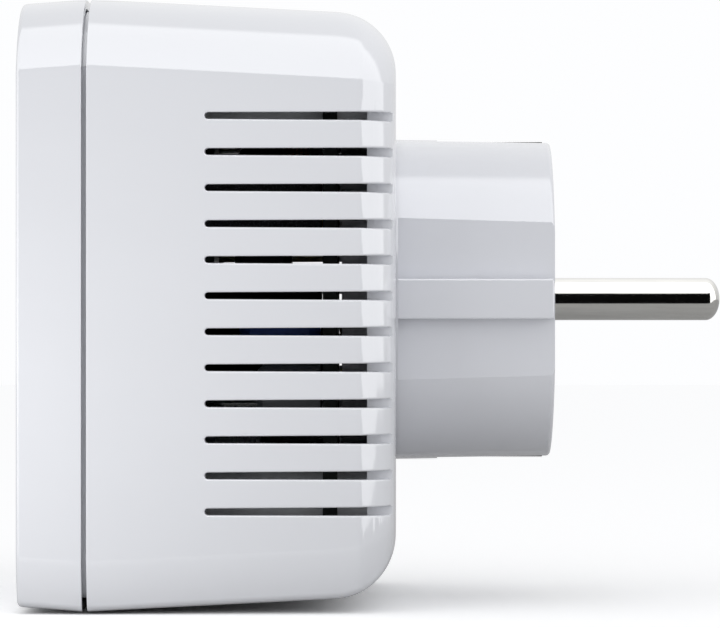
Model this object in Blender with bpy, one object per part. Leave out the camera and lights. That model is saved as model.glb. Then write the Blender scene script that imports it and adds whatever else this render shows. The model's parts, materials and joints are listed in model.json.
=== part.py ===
"""Powerline network adapter with an earthed two-pin wall plug, taken down to its separate pieces.

Frame: the origin is the centre of the plug's face, between the pins. +Y points out of the plug into the
wall socket, +Z is up and X runs across the adapter, so the front cover looks along -Y. Units are metres.
"""
import math

import bmesh
import bpy
from mathutils import Matrix, Vector

MM = 0.001
GAP = 0.3 * MM                      # clearance between neighbouring pieces

# Case: the outline is widest at the seam and tapers away from it in both directions.
FRONT_Y = -59.44 * MM
SEAM_Y = -52.0 * MM
BACK_Y = -17.93 * MM
SEAM_WIDTH = 0.55 * MM              # open groove between the two shells
HALF_WIDTH = 31.0 * MM
TOP_Z = 33.35 * MM
BOTTOM_Z = -34.28 * MM
REAR_TAPER = math.radians(2.75)
FRONT_TAPER = math.radians(4.0)
WALL = 2.4 * MM
BACK_WALL = 2.5 * MM
COVER_FACE = 2.2 * MM               # thickness of the cover's front face
TOP_CREASE_DEPTH = 8.25 * MM        # each side is a flat panel with a crease on its upper, lower and rear edge
TOP_CREASE = math.radians(18.2)     # slope of the rounded upper long edge where it meets the panel
REAR_CREASE = math.radians(24.6)
REAR_FILLET = 6.6 * MM
FRONT_FILLET = 0.5 * MM
SKIRT_HEIGHT = 5.0 * MM             # below its lower crease the side curves in to the lower long edge
SKIRT_START = math.radians(8.0)
SKIRT_END = math.radians(24.0)
BOTTOM_CORNER = 1.3 * MM            # tight radius of the lower long edges
TONGUE_INSET = 1.4 * MM             # step in the seam: the rear shell's tongue sits inside the cover's rim
TONGUE_LENGTH = 1.5 * MM

# Side vents
VENT_COUNT = 12
VENT_PITCH = 3.93 * MM
VENT_MIDDLE_Z = -1.66 * MM
VENT_FRONT_Y = -38.85 * MM
VENT_FRONT_WIDTH = 0.74 * MM
VENT_REAR_WIDTH = 0.96 * MM
VENT_FLOOR_X = 25.6 * MM
VENT_REACH = 8.0 * MM               # length of the bars that cut the vents

# Wall plug
PUCK_RADIUS = 18.5 * MM
PUCK_FACE_RADIUS = 18.25 * MM
PUCK_RIM = 0.5 * MM
PUCK_FLAT_X = 16.1 * MM             # the drum is flattened left and right, with a guide rib on each flat
PUCK_BORE = 16.0 * MM
PUCK_BORE_FLAT_X = 14.0 * MM
PUCK_PLATE = 3.0 * MM
FLANGE_RADIUS = 20.5 * MM
FLANGE_Y = BACK_Y - BACK_WALL - GAP
FLANGE_THICKNESS = 3.2 * MM
RIB_WIDTH = 4.5 * MM
RIB_OUTER_X = 18.2 * MM
RIB_BEVEL = 0.25 * MM
PIN_RADIUS = 2.4 * MM
PIN_LENGTH = 19.0 * MM
PIN_DOME = 1.6 * MM
PIN_SPACING = 19.0 * MM
PIN_SHOULDER_Y = -11.5 * MM
PIN_SHOULDER_RADIUS = 3.4 * MM
PIN_SHOULDER_LENGTH = 1.2 * MM
PIN_TAIL_Y = -16.0 * MM
PIN_TAIL_RADIUS = 1.4 * MM
CARRIER_REAR_Y = -11.2 * MM
EARTH_HOLE_Z = 10.0 * MM
EARTH_HOLE_RADIUS = 2.75 * MM
EARTH_TUBE_RADIUS = 3.15 * MM
EARTH_TUBE_BORE = 2.5 * MM
EARTH_TUBE_REAR_Y = -17.3 * MM
EARTH_EYE_RADIUS = 5.0 * MM
CLIP_HALF_WIDTH = 2.5 * MM
CLIP_OUTER_Z = 18.15 * MM
CLIP_THICKNESS = 0.55 * MM
CLIP_REAR_Y = -12.7 * MM
CLIP_TIP_Y = -0.9 * MM
WIRE_RADIUS = 0.9 * MM

# Circuit boards, each lying in an XZ plane
BOARD_THICKNESS = 1.6 * MM
MAIN_REAR_Y = -47.0 * MM            # component side towards the wall
MAIN_FRONT_Y = MAIN_REAR_Y - BOARD_THICKNESS
POWER_REAR_Y = -24.4 * MM
POWER_FRONT_Y = POWER_REAR_Y - BOARD_THICKNESS
BOARD_UPPER_CORNER = 9.0 * MM
BOARD_LOWER_CORNER = 3.0 * MM
MAIN_EXTENT = (27.3 * MM, 29.9 * MM, -30.9 * MM)    # half-width, top and bottom
POWER_EXTENT = (25.4 * MM, 28.4 * MM, -29.4 * MM)

# Case screws and their posts
CASE_MIDDLE_Z = (TOP_Z + BOTTOM_Z) / 2
POST_X = 20.0 * MM
POST_Z = 22.0 * MM
POST_RADIUS = 3.9 * MM
POST_NOSE_RADIUS = 2.9 * MM
POST_NOSE_Y = -49.7 * MM
COVER_POST_RADIUS = 3.2 * MM
COVER_PILOT_RADIUS = 1.5 * MM
SCREW_SEAT_Y = -44.0 * MM
SCREW_HEAD_RADIUS = 2.3 * MM
SCREW_HEAD_HEIGHT = 2.0 * MM
SCREW_SHANK_RADIUS = 1.2 * MM
SCREW_TIP_Y = -55.5 * MM
BOARD_POST_Z = 18.0 * MM            # low pads on the plug's flange that carry the power board
BOARD_POST_RADIUS = 2.2 * MM
BOARD_PILOT_RADIUS = 1.3 * MM
BOARD_PILOT_END_Y = FLANGE_Y - 0.7 * MM
BOARD_HOLE_RADIUS = 1.6 * MM
BOARD_SCREW_TIP_Y = FLANGE_Y - 1.3 * MM
BOARD_SCREW_HEAD_RADIUS = 2.1 * MM
BOARD_SCREW_SHANK_RADIUS = 1.0 * MM

# Controls
BUTTON_Z = -10.0 * MM
BUTTON_RADIUS = 6.0 * MM
BUTTON_FLANGE_RADIUS = 7.6 * MM
BUTTON_FLANGE_THICKNESS = 0.9 * MM
BUTTON_STEM_RADIUS = 1.5 * MM
BUTTON_EDGE = 0.5 * MM
COLLAR_END_Y = -54.9 * MM
SWITCH_TOP_Y = -52.2 * MM
SWITCH_HALF_WIDTH = 3.0 * MM
PLUNGER_LENGTH = 0.55 * MM
PLUNGER_RADIUS = 1.7 * MM
LIGHT_Z = 12.0 * MM
LIGHT_SPACING = 8.0 * MM
LIGHT_RADIUS = 1.1 * MM
LIGHT_COLLAR_RADIUS = 1.9 * MM
LED_SIZE = (3.2 * MM, 1.0 * MM, 1.6 * MM)
RESET_X = 13.4 * MM
RESET_Y = -44.2 * MM
RESET_RADIUS = 1.6 * MM
RESET_TIP_Z = -33.4 * MM
RESET_LENGTH = 3.0 * MM
RESET_COLLAR_RADIUS = 2.6 * MM
RESET_COLLAR_THICKNESS = 0.8 * MM
RESET_SWITCH_HEIGHT = 3.5 * MM
RESET_PLUNGER = 0.9 * MM            # its radius and its length

# Blank label in a shallow pocket of the back
LABEL_HALF_WIDTH = 12.0 * MM
LABEL_LOW_Z = -25.1 * MM
LABEL_HIGH_Z = -20.3 * MM
LABEL_THICKNESS = 0.18 * MM
LABEL_SINK = 0.04 * MM

# Network socket, mouth downwards
JACK_WIDTH = 15.0 * MM
JACK_REAR_Y = -33.8 * MM
JACK_FRONT_Y = -46.4 * MM
JACK_MOUTH_Z = -33.2 * MM
JACK_TOP_Z = -12.8 * MM
JACK_DEPTH = 15.0 * MM
CAVITY_WIDTH = 11.9 * MM
CAVITY_FRONT_Y = -44.9 * MM
CAVITY_REAR_Y = -38.0 * MM
LATCH_WIDTH = 6.2 * MM
LATCH_REAR_Y = -35.4 * MM
SHIELD_THICKNESS = 0.3 * MM
CONTACT_COUNT = 8
CONTACT_PITCH = 1.02 * MM
CONTACT_WIDTH = 0.4 * MM
CONTACT_TIP_DEPTH = 3.5 * MM
CONTACT_LEAN = 0.7 * MM
SOCKET_CUT_HEIGHT = 5.0 * MM


# Heat sink stack, choke, power transformer and board-to-board header
PROCESSOR_AT = (-8.0 * MM, 11.0 * MM)
PROCESSOR_WIDTH = 12.0 * MM
PROCESSOR_HEIGHT = 1.0 * MM
PAD_THICKNESS = 0.4 * MM
SINK_HALF_WIDTH = 8.0 * MM
SINK_BASE = 1.5 * MM
SINK_HEIGHT = 5.9 * MM
SINK_FINS = 6
SINK_FIN_THICKNESS = 1.2 * MM
CHOKE_AT = (-9.5 * MM, 21.4 * MM)
CHOKE_RADII = (2.2 * MM, 5.9 * MM)          # bore and outside
CHOKE_HEIGHT = 7.5 * MM
TRANSFORMER_LOW = (3.2 * MM, 3.0 * MM)      # the power transformer's corners in X and Z
TRANSFORMER_HIGH = (18.2 * MM, 17.0 * MM)
TRANSFORMER_HEIGHT = 13.0 * MM
TRANSFORMER_LIMB = 3.0 * MM
HEADER_HALF_WIDTH = 5.0 * MM
HEADER_LOW_Z = -2.4 * MM
HEADER_HIGH_Z = 2.6 * MM

# How modelling tools meet the solids they work on
REACH = 1.0 * MM                    # a cutting tool runs this far past the face that it opens
ROOT = 0.8 * MM                     # a joined post or rib starts this deep inside what it stands on

# Finish of each material: colour, roughness, metallic
WHITE_PLASTIC = ((0.80, 0.81, 0.84), 0.18, 0.0)
PLUG_PLASTIC = ((0.74, 0.75, 0.79), 0.28, 0.0)
GREY_PLASTIC = ((0.30, 0.31, 0.33), 0.45, 0.0)
BLACK_PLASTIC = ((0.02, 0.02, 0.022), 0.45, 0.0)
CLEAR_PLASTIC = ((0.75, 0.80, 0.84), 0.12, 0.0)
NICKEL = ((0.66, 0.65, 0.62), 0.15, 1.0)
STEEL = ((0.50, 0.50, 0.50), 0.32, 1.0)
TINPLATE = ((0.60, 0.60, 0.60), 0.28, 1.0)
GOLD = ((0.80, 0.58, 0.22), 0.22, 1.0)
ALUMINIUM = ((0.70, 0.71, 0.72), 0.38, 1.0)
BOARD_GREEN = ((0.02, 0.16, 0.06), 0.42, 0.0)
BOARD_BLACK = ((0.015, 0.018, 0.017), 0.45, 0.0)
FERRITE = ((0.05, 0.05, 0.055), 0.62, 0.0)
YELLOW_TAPE = ((0.85, 0.66, 0.10), 0.38, 0.0)
BLACK_TAPE = ((0.03, 0.027, 0.025), 0.38, 0.0)
COPPER = ((0.72, 0.30, 0.14), 0.32, 1.0)
BLUE_COAT = ((0.04, 0.10, 0.42), 0.40, 0.0)
BLACK_SLEEVE = ((0.015, 0.015, 0.02), 0.30, 0.0)
LABEL_SILVER = ((0.62, 0.63, 0.65), 0.50, 0.0)
PAD_GREY = ((0.45, 0.50, 0.55), 0.80, 0.0)
BROWN_WIRE = ((0.16, 0.06, 0.02), 0.40, 0.0)
BLUE_WIRE = ((0.02, 0.08, 0.40), 0.40, 0.0)
GREEN_WIRE = ((0.08, 0.40, 0.06), 0.40, 0.0)

# Box-shaped parts on each board: finish, middle (x, z), size (x, z, height above the board) and bevel
MAIN_BOARD_PARTS = {
    "memory_chip": (BLACK_PLASTIC, (8 * MM, 10 * MM), (8 * MM, 6 * MM, 1 * MM), 0.2 * MM),
    "clock_crystal": (TINPLATE, (4 * MM, 21 * MM), (5 * MM, 3.2 * MM, 1.2 * MM), 0.2 * MM),
    "ethernet_magnetics": (BLACK_PLASTIC, (0, -6.8 * MM), (12.6 * MM, 7.4 * MM, 5.8 * MM), 0.2 * MM),
    "regulator_inductor": (FERRITE, (18 * MM, -8 * MM), (6 * MM, 6 * MM, 4 * MM), 0.6 * MM),
}
POWER_BOARD_PARTS = {
    "suppression_capacitor": (YELLOW_TAPE, (-13.5 * MM, 8.5 * MM), (13 * MM, 6 * MM, 11 * MM), 0.5 * MM),
    "surge_varistor": (BLUE_COAT, (17 * MM, -3.5 * MM), (9 * MM, 3.6 * MM, 9 * MM), 1.2 * MM),
    "coupling_transformer": (FERRITE, (10 * MM, -11.5 * MM), (8 * MM, 9 * MM, 6.4 * MM), 0.5 * MM),
}
# Round parts that stand on the power board: finish, middle (x, z), radius and height
POWER_BOARD_CANS = {
    "bulk_capacitor": (BLACK_SLEEVE, (-17 * MM, -6 * MM), 5 * MM, 15.5 * MM),
    "output_capacitor": (BLACK_SLEEVE, (-12.6 * MM, -17 * MM), 4 * MM, 11 * MM),
    "mains_fuse": (GREY_PLASTIC, (18.4 * MM, -11 * MM), 3.7 * MM, 7 * MM),
}


# ---------------------------------------------------------------- objects and materials
def painted(name, finish):
    """A Principled material of one colour, roughness and metallic value."""
    colour, roughness, metallic = finish
    material = bpy.data.materials.new(name)
    material.use_nodes = True
    shader = material.node_tree.nodes["Principled BSDF"]
    shader.inputs["Base Color"].default_value = (*colour, 1.0)
    shader.inputs["Roughness"].default_value = roughness
    shader.inputs["Metallic"].default_value = metallic
    material.diffuse_color = (*colour, 1.0)
    return material


def piece(name, shape, finish, location=(0, 0, 0)):
    """Turn a bmesh into a named object with its own material and smooth shading between sharp edges."""
    bmesh.ops.recalc_face_normals(shape, faces=shape.faces)
    mesh = bpy.data.meshes.new(name)
    shape.to_mesh(mesh)
    shape.free()
    mesh.shade_smooth()
    mesh.set_sharp_from_angle(angle=math.radians(30))
    mesh.materials.append(painted(name, finish))
    obj = bpy.data.objects.new(name, mesh)
    obj.location = location
    bpy.context.collection.objects.link(obj)
    return obj


def boolean(target, shape, operation):
    """Join a shape to the target or cut it away. The tool object is kept as a hidden guide."""
    bmesh.ops.recalc_face_normals(shape, faces=shape.faces)
    index = len(target.modifiers)
    mesh = bpy.data.meshes.new(f"{target.name}_tool_{index}")
    shape.to_mesh(mesh)
    shape.free()
    tool = bpy.data.objects.new(mesh.name, mesh)
    tool.location = target.location
    tool.hide_render = True
    tool.display_type = "WIRE"
    bpy.context.collection.objects.link(tool)
    modifier = target.modifiers.new(f"{operation.lower()}_{index}", "BOOLEAN")
    modifier.operation = operation
    modifier.solver = "EXACT"
    modifier.object = tool


def join(target, shape):
    boolean(target, shape, "UNION")


def cut(target, shape):
    boolean(target, shape, "DIFFERENCE")


# ---------------------------------------------------------------- shape builders
def skin(shape, first, second):
    """Faces between two rings of vertices. A ring of one vertex is the point of a cone."""
    count = max(len(first), len(second))
    for k in range(count):
        following = (k + 1) % count
        corners = [first[k % len(first)], first[following % len(first)],
                   second[following % len(second)], second[k % len(second)]]
        shape.faces.new(list(dict.fromkeys(corners)))


def turned(profile, segments=24, centre=(0, 0, 0)):
    """Revolve a (radius, y) outline about the line along Y through centre. Radius 0 closes an end."""
    shape = bmesh.new()
    rings = []
    for radius, y in profile:
        count = segments if radius > 0 else 1
        angles = [2 * math.pi * k / count for k in range(count)]
        rings.append([shape.verts.new((radius * math.cos(a), y, radius * math.sin(a))) for a in angles])
    for first, second in zip(rings, rings[1:]):
        tip, edge = sorted((first, second), key=len)
        if len(tip) == 1 and tip[0].co.y == edge[0].co.y:
            shape.faces.new(edge)
            shape.verts.remove(tip[0])
        else:
            skin(shape, first, second)
    if profile[0][0] > 0:
        skin(shape, rings[-1], rings[0])
    bmesh.ops.translate(shape, vec=Vector(centre), verts=shape.verts)
    return shape


def disc(radius, low_y, high_y, centre_x=0.0, centre_z=0.0, segments=24):
    """A plain round bar along Y."""
    return turned([(0, low_y), (radius, low_y), (radius, high_y), (0, high_y)], segments,
                  (centre_x, 0, centre_z))


def upright(shape, centre=(0, 0, 0)):
    """Swing a shape that was turned about Y so that its +Y end points along +Z, then move it."""
    bmesh.ops.rotate(shape, matrix=Matrix.Rotation(math.pi / 2, 3, "X"), verts=shape.verts)
    bmesh.ops.translate(shape, vec=Vector(centre), verts=shape.verts)
    return shape


def block(low, high, bevel=0.0):
    """A box between two corners, with its edges broken by a small bevel."""
    shape = bmesh.new()
    bmesh.ops.create_cube(shape, size=1.0)
    low, high = Vector(low), Vector(high)
    bmesh.ops.scale(shape, vec=high - low, verts=shape.verts)
    bmesh.ops.translate(shape, vec=(low + high) / 2, verts=shape.verts)
    if bevel > 0:
        bmesh.ops.bevel(shape, geom=shape.edges[:], offset=bevel, segments=1, affect="EDGES")
    return shape


def extruded(outline, shift):
    """A prism: a closed flat outline of points, carried along shift."""
    shape = bmesh.new()
    first = [shape.verts.new(point) for point in outline]
    second = [shape.verts.new(Vector(point) + Vector(shift)) for point in outline]
    shape.faces.new(first)
    shape.faces.new(second)
    skin(shape, first, second)
    return shape


def lofted(rings):
    """A closed solid through rings of equal length, with its first and last ring filled."""
    shape = bmesh.new()
    loops = [[shape.verts.new(point) for point in ring] for ring in rings]
    for first, second in zip(loops, loops[1:]):
        skin(shape, first, second)
    shape.faces.new(loops[0])
    shape.faces.new(loops[-1])
    return shape


def gathered(shapes):
    """Several separate shapes in one bmesh, for a tool that works at many places."""
    whole = bmesh.new()
    for shape in shapes:
        mesh = bpy.data.meshes.new("gathered")
        bmesh.ops.recalc_face_normals(shape, faces=shape.faces)
        shape.to_mesh(mesh)
        shape.free()
        whole.from_mesh(mesh)
        bpy.data.meshes.remove(mesh)
    return whole


def arc(centre, radius, start, end, steps):
    """Points of a circular arc in a plane, from the start angle to the end angle."""
    angles = [start + (end - start) * k / steps for k in range(steps + 1)]
    return [(centre[0] + radius * math.cos(a), centre[1] + radius * math.sin(a)) for a in angles]


def mirrored(points):
    """The same points reflected in X and taken in the opposite order."""
    return [(-x, z) for x, z in reversed(points)]


# ---------------------------------------------------------------- case outline
def shrink(y):
    """How far the case has tapered in, on every side, at a distance from the seam."""
    taper = REAR_TAPER if y > SEAM_Y else FRONT_TAPER
    return abs(y - SEAM_Y) * math.tan(taper)


def case_outline(y, side, end):
    """The case's outline at y, moved in by side at its two sides and by end at its top and bottom."""
    half_width = HALF_WIDTH - shrink(y) - side
    top = TOP_Z - shrink(y) - end
    bottom = BOTTOM_Z + shrink(y) + end
    crease_z = TOP_Z - shrink(y) - TOP_CREASE_DEPTH
    radius = (top - crease_z) / (1 - math.sin(TOP_CREASE))
    right = arc((half_width - radius * math.cos(TOP_CREASE), top - radius), radius,
                math.pi / 2, TOP_CREASE, 6)
    skirt_height = SKIRT_HEIGHT * (1 - end / (REAR_FILLET + WALL))
    skirt_low = bottom + BOTTOM_CORNER * (1 - math.sin(SKIRT_END))
    skirt_radius = skirt_height / (math.sin(SKIRT_END) - math.sin(SKIRT_START))
    skirt_middle = (half_width - skirt_radius * math.cos(SKIRT_START),
                    skirt_low + skirt_radius * math.sin(SKIRT_END))
    right += arc(skirt_middle, skirt_radius, -SKIRT_START, -SKIRT_END, 2)
    tip_x = skirt_middle[0] + (skirt_radius - BOTTOM_CORNER) * math.cos(SKIRT_END)
    right += arc((tip_x, bottom + BOTTOM_CORNER), BOTTOM_CORNER, -SKIRT_END, -math.pi / 2, 3)[1:]
    return [(x, y, z) for x, z in right + mirrored(right)]


def front_edge(end_y, inset, steps):
    """(y, side, end) stations that round a front edge, from the flat end face to the wall."""
    stations = []
    for k in range(steps + 1):
        angle = math.pi / 2 * (1 - k / steps)
        depth = inset + FRONT_FILLET * (1 - math.cos(angle))
        stations.append((end_y + FRONT_FILLET * (1 - math.sin(angle)), depth, depth))
    return stations


def rear_edge(end_y, inset, radius):
    """(y, side, end) stations that round the rear edge, from the wall to the flat end face."""
    angles = [REAR_CREASE * k / 2 for k in range(2)]
    angles += [REAR_CREASE + (math.pi / 2 - REAR_CREASE) * k / 5 for k in range(6)]
    stations = []
    for angle in angles:
        side = radius * max(0.0, math.cos(REAR_CREASE) - math.cos(angle))
        stations.append((end_y - radius * (1 - math.sin(angle)), inset + side,
                         inset + radius * (1 - math.cos(angle))))
    return stations


# ---------------------------------------------------------------- case
def post_places():
    return [(sx * POST_X, CASE_MIDDLE_Z + sz * POST_Z) for sx in (-1, 1) for sz in (-1, 1)]


def make_front_cover():
    rim_y = SEAM_Y - SEAM_WIDTH / 2
    inner_y = FRONT_Y + COVER_FACE
    rebate_y = rim_y - TONGUE_LENGTH - GAP
    rebate = TONGUE_INSET - GAP
    outside = front_edge(FRONT_Y, 0.0, 3) + [(rim_y, 0.0, 0.0)]
    step = [(rim_y, rebate, rebate), (rebate_y, rebate, rebate), (rebate_y, WALL, WALL)]
    inside = front_edge(inner_y, WALL, 2)[::-1]
    rings = [case_outline(*station) for station in outside + step + inside]
    cover = piece("front_cover", lofted(rings), WHITE_PLASTIC)
    root_y = inner_y - ROOT
    posts = [disc(COVER_POST_RADIUS, root_y, POST_NOSE_Y - GAP, x, z, 16) for x, z in post_places()]
    collar = disc(BUTTON_FLANGE_RADIUS - 0.1 * MM, root_y, COLLAR_END_Y, 0, BUTTON_Z, 32)
    join(cover, gathered(posts + [collar]))
    pilots = [disc(COVER_PILOT_RADIUS, inner_y + GAP, POST_NOSE_Y + REACH, x, z, 16)
              for x, z in post_places()]
    opening = disc(BUTTON_RADIUS + GAP, FRONT_Y - REACH, COLLAR_END_Y + REACH, 0, BUTTON_Z, 32)
    windows = [disc(LIGHT_RADIUS + GAP, FRONT_Y - REACH, inner_y + REACH, x, LIGHT_Z, 16)
               for x in light_places()]
    cut(cover, gathered(pilots + [opening] + windows))


def vent_outline(middle_z):
    """One vent in a YZ plane: a round front end, widening towards the back of the case."""
    half_front = VENT_FRONT_WIDTH / 2
    half_rear = VENT_REAR_WIDTH / 2
    end_y = BACK_Y + REACH
    front = arc((VENT_FRONT_Y + half_front, middle_z), half_front, math.pi / 2, 3 * math.pi / 2, 4)
    return front + [(end_y, middle_z - half_rear), (end_y, middle_z + half_rear)]


def vent_tools():
    """Bars that open the vents in both side walls."""
    tools = []
    for side in (-1, 1):
        for k in range(VENT_COUNT):
            middle_z = VENT_MIDDLE_Z + (k - (VENT_COUNT - 1) / 2) * VENT_PITCH
            outline = [(side * VENT_FLOOR_X, y, z) for y, z in vent_outline(middle_z)]
            tools.append(extruded(outline, (side * VENT_REACH, 0, 0)))
    return tools


def make_rear_housing():
    rim_y = SEAM_Y + SEAM_WIDTH / 2
    tongue_y = SEAM_Y - SEAM_WIDTH / 2 - TONGUE_LENGTH
    inner_y = BACK_Y - BACK_WALL
    outside = [(rim_y, 0.0, 0.0)] + rear_edge(BACK_Y, 0.0, REAR_FILLET)
    inside = [(tongue_y, WALL, WALL)] + rear_edge(inner_y, WALL, REAR_FILLET - WALL)
    tongue = [(rim_y, TONGUE_INSET, TONGUE_INSET), (tongue_y, TONGUE_INSET, TONGUE_INSET)]
    rings = [case_outline(*station) for station in outside[::-1] + tongue + inside]
    housing = piece("rear_housing", lofted(rings), WHITE_PLASTIC)
    root_y = inner_y + ROOT
    post = [(0, root_y), (POST_RADIUS, root_y), (POST_RADIUS, MAIN_REAR_Y + GAP),
            (POST_NOSE_RADIUS, MAIN_REAR_Y + GAP), (POST_NOSE_RADIUS, POST_NOSE_Y), (0, POST_NOSE_Y)]
    join(housing, gathered([turned(post, 16, (x, 0, z)) for x, z in post_places()]))
    head_bore, shank_bore = SCREW_HEAD_RADIUS + GAP, SCREW_SHANK_RADIUS + GAP
    bore = [(0, BACK_Y + REACH), (head_bore, BACK_Y + REACH), (head_bore, SCREW_SEAT_Y),
            (shank_bore, SCREW_SEAT_Y), (shank_bore, POST_NOSE_Y - REACH), (0, POST_NOSE_Y - REACH)]
    plug_hole = disc(PUCK_RADIUS + GAP, inner_y - REACH, BACK_Y + REACH, segments=48)
    cut(housing, gathered([turned(bore, 16, (x, 0, z)) for x, z in post_places()] + [plug_hole]))
    cut(housing, gathered(vent_tools()))
    margin = SHIELD_THICKNESS + 2 * GAP
    half_socket = JACK_WIDTH / 2 + margin
    socket = block((-half_socket, JACK_FRONT_Y - margin, BOTTOM_Z - REACH),
                   (half_socket, JACK_REAR_Y + margin, BOTTOM_Z + SOCKET_CUT_HEIGHT))
    reset = upright(disc(RESET_RADIUS + GAP, -WALL, WALL, segments=16),
                    (RESET_X, RESET_Y, BOTTOM_Z + WALL / 2))
    low, high = label_corners()
    pocket = block(low - Vector((GAP, GAP, GAP)), high + Vector((GAP, REACH, GAP)))
    cut(housing, gathered([socket, reset, pocket]))


def label_corners():
    high_y = BACK_Y - LABEL_SINK
    low = Vector((-LABEL_HALF_WIDTH, high_y - LABEL_THICKNESS, LABEL_LOW_Z))
    high = Vector((LABEL_HALF_WIDTH, high_y, LABEL_HIGH_Z))
    return low, high


def make_type_label():
    piece("type_label", block(*label_corners()), LABEL_SILVER)


def make_case_screws():
    """Pan-head screws deep in the rear posts. A cross recess is cut into each head."""
    seat = SCREW_SEAT_Y + GAP
    head_y = seat + SCREW_HEAD_HEIGHT
    profile = [(0, head_y), (SCREW_HEAD_RADIUS - 0.4 * MM, head_y), (SCREW_HEAD_RADIUS, head_y - 0.6 * MM),
               (SCREW_HEAD_RADIUS, seat), (SCREW_SHANK_RADIUS, seat),
               (SCREW_SHANK_RADIUS, SCREW_TIP_Y + SCREW_SHANK_RADIUS), (0, SCREW_TIP_Y)]
    for number, (x, z) in enumerate(post_places(), start=1):
        screw = piece(f"case_screw_{number}", turned(profile, 16), STEEL, (x, 0, z))
        cut(screw, cross_recess(head_y))


def cross_recess(head_y):
    """A plus-shaped prism that sinks into a screw's head."""
    long, short = 1.3 * MM, 0.3 * MM
    quarter = [(long, short), (short, short), (short, long)]
    outline = []
    for turn in range(4):
        spin = Matrix.Rotation(turn * math.pi / 2, 2)
        outline += [spin @ Vector(corner) for corner in quarter]
    return extruded([(p.x, head_y - 1.1 * MM, p.y) for p in outline], (0, 2 * MM, 0))


# ---------------------------------------------------------------- wall plug
def flattened_disc(radius, flat_x, low_y, high_y):
    """A round bar along Y that is cut flat at +flat_x and -flat_x."""
    reach = math.acos(flat_x / radius)
    upper = arc((0, 0), radius, reach, math.pi - reach, 20)
    outline = upper + [(x, -z) for x, z in reversed(upper)]
    return extruded([(x, low_y, z) for x, z in outline], (0, high_y - low_y, 0))


def make_plug_body():
    """Hollow flattened drum on a round neck that passes through the back wall to a flange inside the case."""
    neck_y = FLANGE_Y - FLANGE_THICKNESS
    profile = [(0, 0), (PUCK_FACE_RADIUS - PUCK_RIM, 0), (PUCK_FACE_RADIUS - 0.15 * MM, -0.15 * MM),
               (PUCK_FACE_RADIUS, -PUCK_RIM), (PUCK_RADIUS, BACK_Y), (PUCK_RADIUS, FLANGE_Y),
               (FLANGE_RADIUS, FLANGE_Y), (FLANGE_RADIUS, neck_y), (0, neck_y)]
    plug = piece("plug_body", turned(profile, 48), PLUG_PLASTIC)
    flats = []
    ribs = []
    for side in (-1, 1):
        low_x, high_x = sorted((side * PUCK_FLAT_X, side * (PUCK_RADIUS + REACH)))
        flats.append(block((low_x, BACK_Y + GAP, -PUCK_RADIUS), (high_x, REACH, PUCK_RADIUS)))
        low_x, high_x = sorted((side * (PUCK_FLAT_X - ROOT), side * RIB_OUTER_X))
        ribs.append(block((low_x, BACK_Y + GAP / 2, -RIB_WIDTH / 2), (high_x, -GAP / 2, RIB_WIDTH / 2),
                          RIB_BEVEL))
    posts = [disc(BOARD_POST_RADIUS, POWER_REAR_Y + GAP, neck_y + ROOT, 0, side * BOARD_POST_Z, 16)
             for side in (-1, 1)]
    cut(plug, gathered(flats))
    join(plug, gathered(ribs))
    cut(plug, flattened_disc(PUCK_BORE, PUCK_BORE_FLAT_X, neck_y - REACH, -PUCK_PLATE))
    join(plug, gathered(posts))
    pins = [disc(PIN_RADIUS + GAP, -PUCK_PLATE - REACH, REACH, side * PIN_SPACING / 2, 0, 24)
            for side in (-1, 1)]
    earth = disc(EARTH_HOLE_RADIUS, -PUCK_PLATE - REACH, REACH, 0, EARTH_HOLE_Z, 24)
    pilots = [disc(BOARD_PILOT_RADIUS, POWER_REAR_Y - REACH, BOARD_PILOT_END_Y, 0, side * BOARD_POST_Z, 12)
              for side in (-1, 1)]
    cut(plug, gathered(pins + [earth] + pilots))
    cut(plug, gathered(clip_recesses()))


def clip_recesses():
    """Grooves for the side earth contacts, each with a slot where the contact enters the drum."""
    half = CLIP_HALF_WIDTH + GAP
    rear_y = CLIP_REAR_Y - GAP
    slot_y = CLIP_REAR_Y + CLIP_THICKNESS + GAP
    floor_z = CLIP_OUTER_Z - CLIP_THICKNESS - GAP
    outer_z = PUCK_RADIUS + REACH
    inner_z = PUCK_BORE - 2 * REACH
    outline = [(REACH, outer_z), (rear_y, outer_z), (rear_y, inner_z), (slot_y, inner_z),
               (slot_y, floor_z), (REACH, floor_z)]
    return [extruded([(-half, y, side * z) for y, z in outline], (2 * half, 0, 0)) for side in (-1, 1)]


def make_pin_carrier():
    plate = flattened_disc(PUCK_BORE - 2 * GAP, PUCK_BORE_FLAT_X - GAP, CARRIER_REAR_Y, -PUCK_PLATE - GAP)
    carrier = piece("pin_carrier", plate, GREY_PLASTIC)
    low_y = CARRIER_REAR_Y - REACH
    pins = [disc(PIN_RADIUS + GAP, low_y, 0, side * PIN_SPACING / 2, 0, 24) for side in (-1, 1)]
    tube = disc(EARTH_TUBE_RADIUS + GAP, low_y, 0, 0, EARTH_HOLE_Z, 24)
    cut(carrier, gathered(pins + [tube]))


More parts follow.
